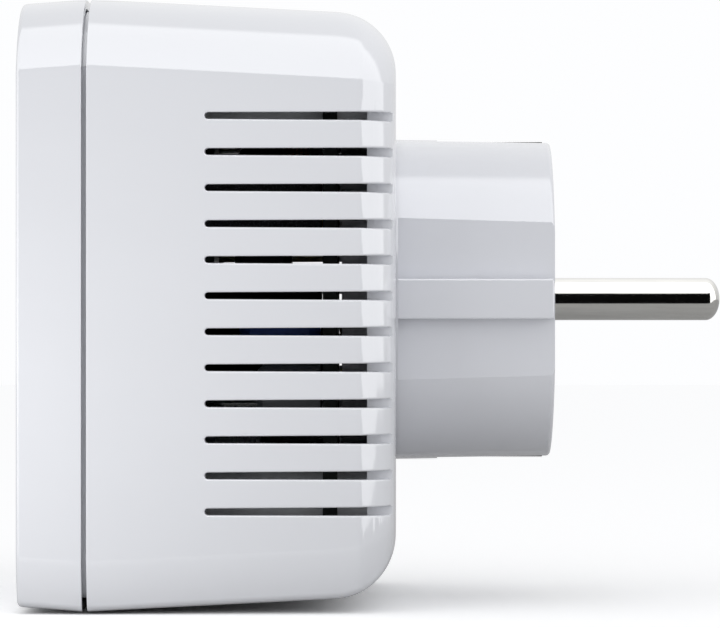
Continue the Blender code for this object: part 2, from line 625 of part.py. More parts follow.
def make_pins():
    """Solid round pins with a rounded tip, a shoulder behind the carrier and a thin solder tail."""
    dome = [(PIN_RADIUS * math.cos(a), PIN_LENGTH - PIN_DOME + PIN_DOME * math.sin(a))
            for a in (math.pi / 2 * k / 6 for k in range(6))]
    shoulder_end_y = PIN_SHOULDER_Y - PIN_SHOULDER_LENGTH
    profile = [(0, PIN_LENGTH)] + dome[::-1] + [
        (PIN_RADIUS, PIN_SHOULDER_Y), (PIN_SHOULDER_RADIUS, PIN_SHOULDER_Y),
        (PIN_SHOULDER_RADIUS, shoulder_end_y), (PIN_TAIL_RADIUS, shoulder_end_y),
        (PIN_TAIL_RADIUS, PIN_TAIL_Y), (0, PIN_TAIL_Y)]
    for name, side in (("live_pin", 1), ("neutral_pin", -1)):
        piece(name, turned(profile, 24), NICKEL, (side * PIN_SPACING / 2, 0, 0))


def make_earth_bracket():
    """One stamped strip: two side contacts, a spine across the drum and an eye around the earth tube."""
    outer, thick = CLIP_OUTER_Z, CLIP_THICKNESS
    spine_y = CLIP_REAR_Y + thick
    half_outline = [(CLIP_TIP_Y, outer), (CLIP_REAR_Y, outer)]
    inner_outline = [(spine_y, outer - thick), (CLIP_TIP_Y, outer - thick)]
    outline = half_outline + [(y, -z) for y, z in reversed(half_outline)]
    outline += [(y, -z) for y, z in reversed(inner_outline)] + inner_outline
    strip = extruded([(-CLIP_HALF_WIDTH, y, z) for y, z in outline], (2 * CLIP_HALF_WIDTH, 0, 0))
    bracket = piece("earth_bracket", strip, NICKEL)
    step = thick / 10
    join(bracket, disc(EARTH_EYE_RADIUS, CLIP_REAR_Y + step, spine_y - step, 0, EARTH_HOLE_Z, 24))
    cut(bracket, disc(EARTH_TUBE_RADIUS + GAP, CLIP_REAR_Y - REACH, spine_y + REACH, 0, EARTH_HOLE_Z, 24))


def make_earth_socket():
    """Tube that receives a wall socket's earth pin."""
    front_y = -PUCK_PLATE - GAP
    flare = 0.3 * MM
    profile = [(EARTH_TUBE_BORE, front_y - flare), (EARTH_TUBE_BORE + flare, front_y),
               (EARTH_TUBE_RADIUS, front_y), (EARTH_TUBE_RADIUS, EARTH_TUBE_REAR_Y),
               (EARTH_TUBE_BORE, EARTH_TUBE_REAR_Y)]
    piece("earth_socket", turned(profile, 24), NICKEL, (0, 0, EARTH_HOLE_Z))


def make_wires():
    """Short leads from the plug's contacts to the power board, bent in a gentle S."""
    half = PIN_SPACING / 2
    leads = [("live_wire", BROWN_WIRE, (half, PIN_TAIL_Y - GAP, 0), (half - 2 * MM, 0, -4 * MM)),
             ("neutral_wire", BLUE_WIRE, (-half, PIN_TAIL_Y - GAP, 0), (-half + 2 * MM, 0, -4 * MM)),
             ("earth_wire", GREEN_WIRE, (0, CLIP_REAR_Y - GAP, -6 * MM), (0, 0, -9 * MM))]
    for name, finish, start, end in leads:
        end = Vector((end[0], POWER_REAR_Y + GAP, end[2]))
        start = Vector(start)
        curve = bpy.data.curves.new(name, "CURVE")
        curve.dimensions = "3D"
        curve.bevel_depth = WIRE_RADIUS
        curve.bevel_resolution = 2
        curve.use_fill_caps = True
        steps = 8
        spline = curve.splines.new("POLY")
        spline.points.add(steps)
        for k, point in enumerate(spline.points):
            along = k / steps
            ease = along * along * (3 - 2 * along)
            place = Vector((start.x + (end.x - start.x) * ease, start.y + (end.y - start.y) * along,
                            start.z + (end.z - start.z) * ease))
            point.co = (*place, 1.0)
        curve.materials.append(painted(name, finish))
        wire = bpy.data.objects.new(name, curve)
        bpy.context.collection.objects.link(wire)


# ---------------------------------------------------------------- controls and lights
def light_places():
    return [k * LIGHT_SPACING for k in (-1, 0, 1)]


def make_pairing_button():
    """Round push button, held in by its flange. Its origin is on the sliding axis."""
    face_y = FRONT_Y + 0.1 * MM
    flange_y = COLLAR_END_Y + GAP
    flange_end_y = flange_y + BUTTON_FLANGE_THICKNESS
    stem_y = SWITCH_TOP_Y - GAP - PLUNGER_LENGTH - GAP
    profile = [(0, face_y), (BUTTON_RADIUS - BUTTON_EDGE, face_y), (BUTTON_RADIUS, face_y + BUTTON_EDGE),
               (BUTTON_RADIUS, flange_y), (BUTTON_FLANGE_RADIUS, flange_y),
               (BUTTON_FLANGE_RADIUS, flange_end_y), (BUTTON_STEM_RADIUS, flange_end_y),
               (BUTTON_STEM_RADIUS, stem_y), (0, stem_y)]
    piece("pairing_button", turned(profile, 32), WHITE_PLASTIC, (0, 0, BUTTON_Z))


def make_pairing_switch():
    half = SWITCH_HALF_WIDTH
    body = block((-half, SWITCH_TOP_Y, BUTTON_Z - half), (half, MAIN_FRONT_Y - GAP, BUTTON_Z + half), 0.3 * MM)
    piece("pairing_switch_body", body, BLACK_PLASTIC)
    high_y = SWITCH_TOP_Y - GAP
    plunger = disc(PLUNGER_RADIUS, high_y - PLUNGER_LENGTH, high_y, segments=16)
    piece("pairing_switch_plunger", plunger, BLACK_PLASTIC, (0, 0, BUTTON_Z))


def make_reset_button():
    """Small recessed button in the bottom wall, pushed upwards with a thin tool."""
    collar_z = RESET_LENGTH - RESET_COLLAR_THICKNESS
    profile = [(0, 0), (RESET_RADIUS - 0.2 * MM, 0), (RESET_RADIUS, 0.2 * MM), (RESET_RADIUS, collar_z),
               (RESET_COLLAR_RADIUS, collar_z), (RESET_COLLAR_RADIUS, RESET_LENGTH), (0, RESET_LENGTH)]
    piece("reset_button", upright(turned(profile, 16)), GREY_PLASTIC, (RESET_X, RESET_Y, RESET_TIP_Z))


def make_reset_switch():
    plunger_z = RESET_TIP_Z + RESET_LENGTH + GAP
    body_z = plunger_z + RESET_PLUNGER + GAP
    body = block((RESET_X - SWITCH_HALF_WIDTH, MAIN_REAR_Y + GAP, body_z),
                 (RESET_X + SWITCH_HALF_WIDTH, RESET_Y + 1 * MM, body_z + RESET_SWITCH_HEIGHT), 0.3 * MM)
    piece("reset_switch_body", body, BLACK_PLASTIC)
    plunger = upright(disc(RESET_PLUNGER, 0, RESET_PLUNGER, segments=12))
    piece("reset_switch_plunger", plunger, BLACK_PLASTIC, (RESET_X, RESET_Y, plunger_z))


def make_lights():
    """Light pipes from the front face to three light-emitting diodes on the main board."""
    width, height, depth = LED_SIZE
    led_end_y = MAIN_FRONT_Y - GAP
    led_y = led_end_y - height
    face_y = FRONT_Y + 0.05 * MM
    collar_y = FRONT_Y + COVER_FACE + GAP
    collar_end_y = collar_y + 0.7 * MM
    profile = [(0, face_y), (LIGHT_RADIUS, face_y), (LIGHT_RADIUS, collar_y), (LIGHT_COLLAR_RADIUS, collar_y),
               (LIGHT_COLLAR_RADIUS, collar_end_y), (LIGHT_RADIUS, collar_end_y),
               (LIGHT_RADIUS, led_y - GAP), (0, led_y - GAP)]
    for name, x in zip(("power", "link", "network"), light_places()):
        piece(f"light_pipe_{name}", turned(profile, 16), CLEAR_PLASTIC, (x, 0, LIGHT_Z))
        led = block((x - width / 2, led_y, LIGHT_Z - depth / 2),
                    (x + width / 2, led_end_y, LIGHT_Z + depth / 2), 0.1 * MM)
        piece(f"status_led_{name}", led, CLEAR_PLASTIC)


# ---------------------------------------------------------------- network socket
def make_network_socket():
    half = JACK_WIDTH / 2
    body = block((-half, JACK_FRONT_Y, JACK_MOUTH_Z), (half, JACK_REAR_Y, JACK_TOP_Z))
    jack = piece("ethernet_jack_housing", body, BLACK_PLASTIC)
    half_cavity, half_latch = CAVITY_WIDTH / 2, LATCH_WIDTH / 2
    mouth = [(-half_cavity, CAVITY_FRONT_Y), (half_cavity, CAVITY_FRONT_Y), (half_cavity, CAVITY_REAR_Y),
             (half_latch, CAVITY_REAR_Y), (half_latch, LATCH_REAR_Y), (-half_latch, LATCH_REAR_Y),
             (-half_latch, CAVITY_REAR_Y), (-half_cavity, CAVITY_REAR_Y)]
    below = JACK_MOUTH_Z - REACH
    cut(jack, extruded([(x, y, below) for x, y in mouth], (0, 0, JACK_DEPTH + REACH)))
    make_jack_shield(half)
    make_jack_contacts()


def make_jack_shield(half):
    """Thin metal sleeve around the socket, open at the mouth."""
    inner = Vector((GAP, GAP, 0))
    outer = inner + Vector((SHIELD_THICKNESS, SHIELD_THICKNESS, 0))
    low = Vector((-half, JACK_FRONT_Y, JACK_MOUTH_Z))
    high = Vector((half, JACK_REAR_Y, JACK_TOP_Z + GAP))
    shield = piece("ethernet_jack_shield",
                   block(low - outer, high + outer + Vector((0, 0, SHIELD_THICKNESS))), TINPLATE)
    cut(shield, block(low - inner - Vector((0, 0, REACH)), high + inner))


def make_jack_contacts():
    """Eight sprung contacts on one bar, leaning into the socket's cavity."""
    bar_high = JACK_MOUTH_Z + JACK_DEPTH - GAP
    bar_low = bar_high - 1 * MM
    tip_z = JACK_MOUTH_Z + CONTACT_TIP_DEPTH
    half_bar = (CONTACT_COUNT - 1) / 2 * CONTACT_PITCH + CONTACT_WIDTH / 2
    outline = [(half_bar, bar_high), (-half_bar, bar_high)]
    for k in range(CONTACT_COUNT):
        left = -half_bar + k * CONTACT_PITCH
        right = left + CONTACT_WIDTH
        outline += [(left, tip_z), (right, tip_z)]
        if k < CONTACT_COUNT - 1:
            outline += [(right, bar_low), (left + CONTACT_PITCH, bar_low)]
    comb = extruded([(x, CAVITY_FRONT_Y + GAP, z) for x, z in outline], (0, CONTACT_WIDTH, 0))
    lean = CONTACT_LEAN / (bar_high - tip_z)
    for corner in comb.verts:
        corner.co.y += (corner.co.z - tip_z) * lean
    piece("ethernet_jack_contacts", comb, GOLD)


# ---------------------------------------------------------------- circuit boards
def board_outline(y, half_width, top, bottom):
    """Rounded board blank that follows the inside of the case."""
    upper, lower = BOARD_UPPER_CORNER, BOARD_LOWER_CORNER
    right = arc((half_width - upper, top - upper), upper, math.pi / 2, 0.0, 4)
    right += arc((half_width - lower, bottom + lower), lower, 0.0, -math.pi / 2, 2)
    return [(x, y, z) for x, z in right + mirrored(right)]


def make_board(name, finish, front_y, extent, hole_radius, screw_holes):
    blank = extruded(board_outline(front_y, *extent), (0, BOARD_THICKNESS, 0))
    board = piece(name, blank, finish)
    low, high = front_y - REACH, front_y + BOARD_THICKNESS + REACH
    holes = [disc(hole_radius, low, high, x, z, 16) for x, z in post_places()]
    holes += [disc(BOARD_HOLE_RADIUS, low, high, 0, z, 12) for z in screw_holes]
    cut(board, gathered(holes))


def box_part(name, finish, centre, size, foot_y, direction, bevel):
    """A rectangular component that stands on a board, from foot_y towards +Y (1) or -Y (-1)."""
    (x, z), (width, depth, height) = centre, size
    low_y, high_y = sorted((foot_y, foot_y + direction * height))
    shape = block((x - width / 2, low_y, z - depth / 2), (x + width / 2, high_y, z + depth / 2), bevel)
    piece(name, shape, finish)


def make_main_board():
    make_board("main_board", BOARD_GREEN, MAIN_FRONT_Y, MAIN_EXTENT, POST_NOSE_RADIUS + GAP, [])
    foot_y = MAIN_REAR_Y + GAP
    for name, (finish, centre, size, bevel) in MAIN_BOARD_PARTS.items():
        box_part(name, finish, centre, size, foot_y, 1, bevel)
    size = (PROCESSOR_WIDTH, PROCESSOR_WIDTH, PROCESSOR_HEIGHT)
    box_part("network_processor", BLACK_PLASTIC, PROCESSOR_AT, size, foot_y, 1, 0.2 * MM)
    pad_y = foot_y + PROCESSOR_HEIGHT + GAP
    pad_size = (PROCESSOR_WIDTH, PROCESSOR_WIDTH, PAD_THICKNESS)
    box_part("thermal_pad", PAD_GREY, PROCESSOR_AT, pad_size, pad_y, 1, 0.0)
    make_heat_sink(pad_y + PAD_THICKNESS + GAP)


def make_heat_sink(base_y):
    """Finned aluminium block above the processor."""
    x, z = PROCESSOR_AT
    fin_foot, fin_tip = base_y + SINK_BASE, base_y + SINK_HEIGHT
    half = SINK_HALF_WIDTH
    pitch = (2 * half - SINK_FIN_THICKNESS) / (SINK_FINS - 1)
    outline = [(x + half, base_y), (x - half, base_y)]
    for k in range(SINK_FINS):
        left = x - half + k * pitch
        right = left + SINK_FIN_THICKNESS
        outline += [(left, fin_tip), (right, fin_tip)]
        if k < SINK_FINS - 1:
            outline += [(right, fin_foot), (left + pitch, fin_foot)]
    piece("heat_sink", extruded([(px, py, z - half) for px, py in outline], (0, 0, 2 * half)), ALUMINIUM)


def make_power_board():
    make_board("power_board", BOARD_BLACK, POWER_FRONT_Y, POWER_EXTENT, POST_RADIUS + GAP,
               [-BOARD_POST_Z, BOARD_POST_Z])
    foot_y = POWER_FRONT_Y - GAP
    for name, (finish, centre, size, bevel) in POWER_BOARD_PARTS.items():
        box_part(name, finish, centre, size, foot_y, -1, bevel)
    rim = 0.6 * MM
    for name, (finish, (x, z), radius, height) in POWER_BOARD_CANS.items():
        top_y = foot_y - height
        profile = [(0, foot_y), (radius, foot_y), (radius, top_y + rim), (radius - rim, top_y), (0, top_y)]
        piece(name, turned(profile, 20), finish, (x, 0, z))
    make_power_transformer(foot_y)
    make_choke(foot_y)
    header = block((-HEADER_HALF_WIDTH, MAIN_REAR_Y + GAP, HEADER_LOW_Z),
                   (HEADER_HALF_WIDTH, foot_y, HEADER_HIGH_Z))
    piece("board_header", header, BLACK_PLASTIC)
    make_board_screws(foot_y)


def make_power_transformer(foot_y):
    """Ferrite frame around a taped winding that is longer than the frame at both ends."""
    (low_x, low_z), (high_x, high_z) = TRANSFORMER_LOW, TRANSFORMER_HIGH
    top_y = foot_y - TRANSFORMER_HEIGHT
    limb = TRANSFORMER_LIMB
    frame = block((low_x, top_y, low_z + limb), (high_x, foot_y, high_z - limb))
    core = piece("transformer_core", frame, FERRITE)
    cut(core, block((low_x + limb, top_y + limb, low_z), (high_x - limb, foot_y - limb, high_z)))
    inset = limb + GAP
    winding = block((low_x + inset, top_y + inset, low_z), (high_x - inset, foot_y - inset, high_z), 1.0 * MM)
    piece("transformer_winding", winding, BLACK_TAPE)


def make_choke(foot_y):
    """Common-mode choke: one solid ring that stands for the core and its copper windings."""
    x, z = CHOKE_AT
    bore, outside = CHOKE_RADII
    top_y = foot_y - CHOKE_HEIGHT
    rim = 0.6 * MM
    ring = [(bore, foot_y - rim), (bore + rim, foot_y), (outside - rim, foot_y), (outside, foot_y - rim),
            (outside, top_y + rim), (outside - rim, top_y), (bore + rim, top_y), (bore, top_y + rim)]
    piece("common_mode_choke", turned(ring, 24), COPPER, (x, 0, z))


def make_board_screws(seat):
    """Two slotted screws that hold the power board to the pads on the plug's flange."""
    head, shank = BOARD_SCREW_HEAD_RADIUS, BOARD_SCREW_SHANK_RADIUS
    head_y = seat - 1.5 * MM
    rim = 0.5 * MM
    profile = [(0, head_y), (head - rim, head_y), (head, head_y + rim), (head, seat), (shank, seat),
               (shank, BOARD_SCREW_TIP_Y), (0, BOARD_SCREW_TIP_Y)]
    half_long, half_wide, depth = 1.4 * MM, 0.25 * MM, 0.6 * MM
    for number, side in ((1, -1), (2, 1)):
        screw = piece(f"board_screw_{number}", turned(profile, 12), STEEL, (0, 0, side * BOARD_POST_Z))
        cut(screw, block((-half_long, head_y - REACH, -half_wide), (half_long, head_y + depth, half_wide)))


# ---------------------------------------------------------------- assembly
def main():
    for leftover in list(bpy.data.objects):
        bpy.data.objects.remove(leftover, do_unlink=True)
    make_front_cover()
    make_rear_housing()
    make_type_label()
    make_case_screws()
    make_plug_body()
    make_pin_carrier()
    make_pins()
    make_earth_bracket()
    make_earth_socket()
    make_wires()
    make_pairing_button()
    make_pairing_switch()
    make_reset_button()
    make_reset_switch()
    make_lights()
    make_network_socket()
    make_main_board()
    make_power_board()


main()
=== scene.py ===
import json
import math

import bmesh
import bpy
from mathutils import Matrix, Vector


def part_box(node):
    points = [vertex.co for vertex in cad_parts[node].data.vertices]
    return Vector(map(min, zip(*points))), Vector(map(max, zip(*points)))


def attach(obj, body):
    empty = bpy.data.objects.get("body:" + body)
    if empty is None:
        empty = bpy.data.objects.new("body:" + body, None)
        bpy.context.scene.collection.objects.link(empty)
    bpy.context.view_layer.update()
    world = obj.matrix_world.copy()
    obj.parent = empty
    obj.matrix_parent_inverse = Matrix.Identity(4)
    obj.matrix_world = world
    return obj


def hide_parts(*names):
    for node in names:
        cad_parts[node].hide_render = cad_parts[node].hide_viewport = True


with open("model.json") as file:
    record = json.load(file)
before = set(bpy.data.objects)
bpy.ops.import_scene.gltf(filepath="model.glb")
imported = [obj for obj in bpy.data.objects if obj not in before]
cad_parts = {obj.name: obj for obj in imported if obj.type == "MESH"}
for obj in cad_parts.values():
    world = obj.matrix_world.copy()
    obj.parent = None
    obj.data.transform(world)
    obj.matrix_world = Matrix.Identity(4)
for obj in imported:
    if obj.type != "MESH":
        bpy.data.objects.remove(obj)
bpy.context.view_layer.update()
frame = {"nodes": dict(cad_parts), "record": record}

MM = 0.001

# Case: the outline is widest at the seam and tapers away from it in both directions.
FRONT_Y = -59.44 * MM
SEAM_Y = -52.0 * MM
BACK_Y = -17.93 * MM
SEAM_WIDTH = 0.55 * MM
HALF_WIDTH = 31.0 * MM
TOP_Z = 33.35 * MM
BOTTOM_Z = -34.28 * MM
CASE_MIDDLE_Z = (TOP_Z + BOTTOM_Z) / 2
REAR_TAPER = math.radians(2.75)
FRONT_TAPER = math.radians(4.0)
WALL = 2.4 * MM
BACK_WALL = 2.5 * MM
COVER_FACE = 2.2 * MM               # thickness of the cover's front face
TOP_CREASE_DEPTH = 8.25 * MM        # each side is a flat panel with creases above, below and behind it
TOP_CREASE = math.radians(18.2)
REAR_CREASE = math.radians(24.6)
REAR_FILLET = 6.6 * MM
PANEL_LEAN = 5                      # a face of a side panel leans at most this many degrees from upright
CREASE_LEAST = 6                    # edges of the panels that bend more degrees than this stay sharp
FRONT_FILLET = 0.5 * MM
MOUTH_LIP = 0.2 * MM                # rounding of the holes in the front face
BORE_LIP = 0.35 * MM                # rounding of the screw holes in the back
SKIRT_HEIGHT = 5.0 * MM
SKIRT_START = math.radians(8.0)
SKIRT_END = math.radians(24.0)
BOTTOM_CORNER = 1.3 * MM
SEAM_ROUND = 0.12 * MM              # rounding of both shells' rims at the seam
TONGUE_INSET = 1.4 * MM
TONGUE_LENGTH = 1.5 * MM
GAP = 0.3 * MM

# Side vents
VENT_COUNT = 12
VENT_PITCH = 3.93 * MM
VENT_MIDDLE_Z = -1.66 * MM
VENT_FRONT_Y = -38.85 * MM
VENT_FRONT_WIDTH = 0.74 * MM
VENT_REAR_WIDTH = 0.96 * MM
VENT_FLOOR_X = 25.6 * MM
VENT_ROUND = 0.24 * MM              # rounding of the vents' edges
VENT_END_Y = BACK_Y + 1 * MM        # the vents' cutters run out past the case's back
VENT_CUT_LENGTH = 8 * MM

# Wall plug
PUCK_RADIUS = 18.5 * MM
PUCK_FACE_RADIUS = 18.25 * MM
PUCK_RIM = 0.5 * MM
PUCK_FLAT_X = 16.1 * MM
PUCK_BORE = 16.0 * MM
PUCK_BORE_FLAT_X = 14.0 * MM
PUCK_PLATE = 3.0 * MM
PUCK_HOLE_ROUND = 0.3 * MM          # rounding of the mouths of the holes in the plug's face
FLANGE_RADIUS = 20.5 * MM
FLANGE_Y = BACK_Y - BACK_WALL - GAP
FLANGE_THICKNESS = 3.2 * MM
RIB_WIDTH = 4.5 * MM
RIB_OUTER_X = 18.2 * MM
RIB_BEVEL = 0.25 * MM
PIN_RADIUS = 2.4 * MM
PIN_LENGTH = 19.0 * MM
PIN_DOME = 1.6 * MM
PIN_SPACING = 19.0 * MM
PIN_SHOULDER_Y = -11.5 * MM
PIN_SHOULDER_RADIUS = 3.4 * MM
PIN_SHOULDER_LENGTH = 1.2 * MM
PIN_TAIL_Y = -16.0 * MM
PIN_TAIL_RADIUS = 1.4 * MM
EARTH_HOLE_Z = 10.0 * MM
EARTH_HOLE_RADIUS = 2.75 * MM
EARTH_TUBE_RADIUS = 3.15 * MM
EARTH_EYE_RADIUS = 5.0 * MM
CLIP_HALF_WIDTH = 2.5 * MM
CLIP_OUTER_Z = 18.15 * MM
CLIP_THICKNESS = 0.55 * MM
CLIP_BEND = 0.9 * MM
CLIP_BEVEL = 0.08 * MM
CLIP_REAR_Y = -12.7 * MM
CLIP_TIP_Y = -0.9 * MM
BOARD_POST_Z = 18.0 * MM
BOARD_POST_RADIUS = 2.2 * MM
BOARD_PILOT_RADIUS = 1.3 * MM
BOARD_PILOT_STOP = 0.7 * MM         # wall left in front of each board screw's hole
POWER_REAR_Y = -24.4 * MM

# Screws, controls and socket
MAIN_REAR_Y = -47.0 * MM
POST_X = 20.0 * MM
POST_Z = 22.0 * MM
POST_RADIUS = 3.9 * MM
POST_NOSE_RADIUS = 2.9 * MM
POST_NOSE_Y = -49.7 * MM
SCREW_SEAT_Y = -44.0 * MM
SCREW_HEAD_RADIUS = 2.3 * MM
SCREW_HEAD_HEIGHT = 2.0 * MM
SCREW_SHANK_RADIUS = 1.2 * MM
SCREW_TIP_Y = -55.5 * MM
SCREW_DOME = 0.9 * MM               # height of the head's rounded part
THREAD_PITCH = 0.6 * MM
THREAD_START = 0.4 * MM             # bare shank under the head, and at the tip
THREAD_STOP = 2 * MM
THREAD_ROOT = 0.78                  # share of the shank's radius
CROSS_LONG = 1.3 * MM               # half length and half width of the cross recess
CROSS_SHORT = 0.3 * MM
CROSS_DEPTH = 1.1 * MM
COVER_POST_RADIUS = 3.2 * MM
COVER_PILOT_RADIUS = 1.5 * MM
BUTTON_Z = -10.0 * MM
BUTTON_RADIUS = 6.0 * MM
BUTTON_FLANGE_RADIUS = 7.6 * MM
BUTTON_FLANGE_THICKNESS = 0.9 * MM
BUTTON_SINK = 0.1 * MM              # how far the button's face lies behind the front
BUTTON_EDGE = 0.5 * MM
BUTTON_DISH = 0.25 * MM
BUTTON_STEM_RADIUS = 1.5 * MM
COLLAR_STEP = 0.1 * MM              # the collar is this much smaller than the button's flange
COLLAR_END_Y = -54.9 * MM
SWITCH_TOP_Y = -52.2 * MM
PLUNGER_LENGTH = 0.55 * MM
LIGHT_Z = 12.0 * MM
LIGHT_SPACING = 8.0 * MM
LIGHT_RADIUS = 1.1 * MM
LIGHT_SINK = 0.05 * MM
LIGHT_LENS = 0.25 * MM
LIGHT_COLLAR_THICKNESS = 0.7 * MM
LED_HEIGHT = 1.0 * MM
RESET_X = 13.4 * MM
RESET_Y = -44.2 * MM
RESET_RADIUS = 1.6 * MM
RESET_TIP_Z = -33.4 * MM
RESET_LENGTH = 3.0 * MM
RESET_EDGE = 0.25 * MM
RESET_COLLAR_RADIUS = 2.6 * MM
RESET_COLLAR_THICKNESS = 0.8 * MM
LIGHT_COLLAR_RADIUS = 1.9 * MM
MAIN_FRONT_Y = MAIN_REAR_Y - 1.6 * MM
JACK_WIDTH = 15.0 * MM
JACK_REAR_Y = -33.8 * MM
JACK_FRONT_Y = -46.4 * MM
JACK_MOUTH_Z = -33.2 * MM
JACK_TOP_Z = -12.8 * MM
JACK_DEPTH = 15.0 * MM
CAVITY_WIDTH = 11.9 * MM
CAVITY_FRONT_Y = -44.9 * MM
CAVITY_REAR_Y = -38.0 * MM
LATCH_WIDTH = 6.2 * MM
LATCH_REAR_Y = -35.4 * MM
SHIELD_THICKNESS = 0.3 * MM
CONTACT_COUNT = 8
CONTACT_PITCH = 1.02 * MM
CONTACT_WIDTH = 0.4 * MM
CONTACT_TIP_DEPTH = 3.5 * MM
CONTACT_LEAN = 0.7 * MM
CONTACT_BAR_HEIGHT = 1 * MM

# How modelling tools meet the solids they work on
REACH = 1.0 * MM
ROOT = 0.8 * MM


# ---------------------------------------------------------------- shape builders
def skin(shape, first, second):
    """Faces between two rings of vertices. A ring of one vertex is the point of a cone."""
    count = max(len(first), len(second))
    for k in range(count):
        following = (k + 1) % count
        corners = [first[k % len(first)], first[following % len(first)],
                   second[following % len(second)], second[k % len(second)]]
        shape.faces.new(list(dict.fromkeys(corners)))


def turned(profile, segments=64, centre=(0, 0, 0)):
    """Revolve a (radius, y) outline about the line along Y through centre. Radius 0 closes an end."""
    shape = bmesh.new()
    rings = []
    for radius, y in profile:
        count = segments if radius > 0 else 1
        angles = [2 * math.pi * k / count for k in range(count)]
        rings.append([shape.verts.new((radius * math.cos(a), y, radius * math.sin(a))) for a in angles])
    for first, second in zip(rings, rings[1:]):
        tip, edge = sorted((first, second), key=len)
        if len(tip) == 1 and tip[0].co.y == edge[0].co.y:
            shape.faces.new(edge)
            shape.verts.remove(tip[0])
        else:
            skin(shape, first, second)
    if profile[0][0] > 0:
        skin(shape, rings[-1], rings[0])
    bmesh.ops.translate(shape, vec=Vector(centre), verts=shape.verts)
    return shape


def disc(radius, low_y, high_y, centre_x=0.0, centre_z=0.0, segments=48):
    """A plain round bar along Y."""
    return turned([(0, low_y), (radius, low_y), (radius, high_y), (0, high_y)], segments,
                  (centre_x, 0, centre_z))


def upright(shape, centre=(0, 0, 0)):
    """Swing a shape that was turned about Y so that its +Y end points along +Z, then move it."""
    bmesh.ops.rotate(shape, matrix=Matrix.Rotation(math.pi / 2, 3, "X"), verts=shape.verts)
    bmesh.ops.translate(shape, vec=Vector(centre), verts=shape.verts)
    return shape


def block(low, high, bevel=0.0, segments=3):
    """A box between two corners, with rounded edges."""
    shape = bmesh.new()
    bmesh.ops.create_cube(shape, size=1.0)
    low, high = Vector(low), Vector(high)
    bmesh.ops.scale(shape, vec=high - low, verts=shape.verts)
    bmesh.ops.translate(shape, vec=(low + high) / 2, verts=shape.verts)
    if bevel > 0:
        bmesh.ops.bevel(shape, geom=shape.edges[:], offset=bevel, segments=segments, profile=0.5,
                        affect="EDGES")
    return shape


def extruded(outline, shift):
    """A prism: a closed flat outline of points, carried along shift."""
    shape = bmesh.new()
    first = [shape.verts.new(point) for point in outline]
    second = [shape.verts.new(Vector(point) + Vector(shift)) for point in outline]
    shape.faces.new(first)
    shape.faces.new(second)
    skin(shape, first, second)
    return shape


def lofted(rings):
    """A closed solid through rings of equal length, with its first and last ring filled."""
    shape = bmesh.new()
    loops = [[shape.verts.new(point) for point in ring] for ring in rings]
    for first, second in zip(loops, loops[1:]):
        skin(shape, first, second)
    shape.faces.new(loops[0])
    shape.faces.new(loops[-1])
    return shape


def gathered(shapes):
    """Several separate shapes in one bmesh."""
    whole = bmesh.new()
    for shape in shapes:
        mesh = bpy.data.meshes.new("gathered")
        bmesh.ops.recalc_face_normals(shape, faces=shape.faces)
        shape.to_mesh(mesh)
        shape.free()
        whole.from_mesh(mesh)
        bpy.data.meshes.remove(mesh)
    return whole


def quarter(steps):
    """Angles in equal steps from 0 to a right angle."""
    return [math.pi / 2 * k / steps for k in range(steps + 1)]


def arc(centre, radius, start, end, steps):
    """Points of an arc from one angle to another."""
    angles = [start + (end - start) * k / steps for k in range(steps + 1)]
    return [(centre[0] + radius * math.cos(a), centre[1] + radius * math.sin(a)) for a in angles]


def mirrored(points):
    """The same points reflected in X and taken in the opposite order."""
    return [(-x, z) for x, z in reversed(points)]


def new_object(name, shape):
    """Turn a bmesh into an object, with its normals outwards."""
    bmesh.ops.recalc_face_normals(shape, faces=shape.faces)
    mesh = bpy.data.meshes.new(name)
    shape.to_mesh(mesh)
    shape.free()
    obj = bpy.data.objects.new(name, mesh)
    bpy.context.scene.collection.objects.link(obj)
    return obj


def settle(obj):
    """Replace an object's mesh by what its modifiers make of it."""
    graph = bpy.context.evaluated_depsgraph_get()
    mesh = bpy.data.meshes.new_from_object(obj.evaluated_get(graph))
    obj.modifiers.clear()
    obj.data = mesh


def carve(target, shape, operation="DIFFERENCE"):
    """Cut a shape out of an object, or join it on, with an exact Boolean."""
    tool = new_object("carving_tool", shape)
    modifier = target.modifiers.new("carve", "BOOLEAN")
    modifier.operation = operation
    modifier.solver = "EXACT"
    modifier.object = tool
    settle(target)
    bpy.data.objects.remove(tool)


def smooth(obj, sharp_angle=35, weighted=True):
    """Smooth shading between edges sharper than the angle; large faces keep their own normal."""
    obj.data.shade_smooth()
    obj.data.set_sharp_from_angle(angle=math.radians(sharp_angle))
    if weighted:
        modifier = obj.modifiers.new("weighted_normals", "WEIGHTED_NORMAL")
        modifier.weight = 100
        modifier.keep_sharp = True
    return obj


def finished(obj, node, material, body="case", sharp_angle=35, weighted=True):
    """Give a piece its material, shading and body, and let it stand for its CAD node."""
    obj.data.materials.clear()
    obj.data.materials.append(material)
    smooth(obj, sharp_angle, weighted)
    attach(obj, body)
    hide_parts(node)
    return obj


def slot_of(node):
    """The record's material slot of a CAD node."""
    return next(part["material_slot"] for part in frame["record"]["subparts"] if part["node"] == node)


# ---------------------------------------------------------------- case outline
def shrink(y):
    """How far the case has tapered in, on every side, at a distance from the seam."""
    taper = REAR_TAPER if y > SEAM_Y else FRONT_TAPER
    return abs(y - SEAM_Y) * math.tan(taper)


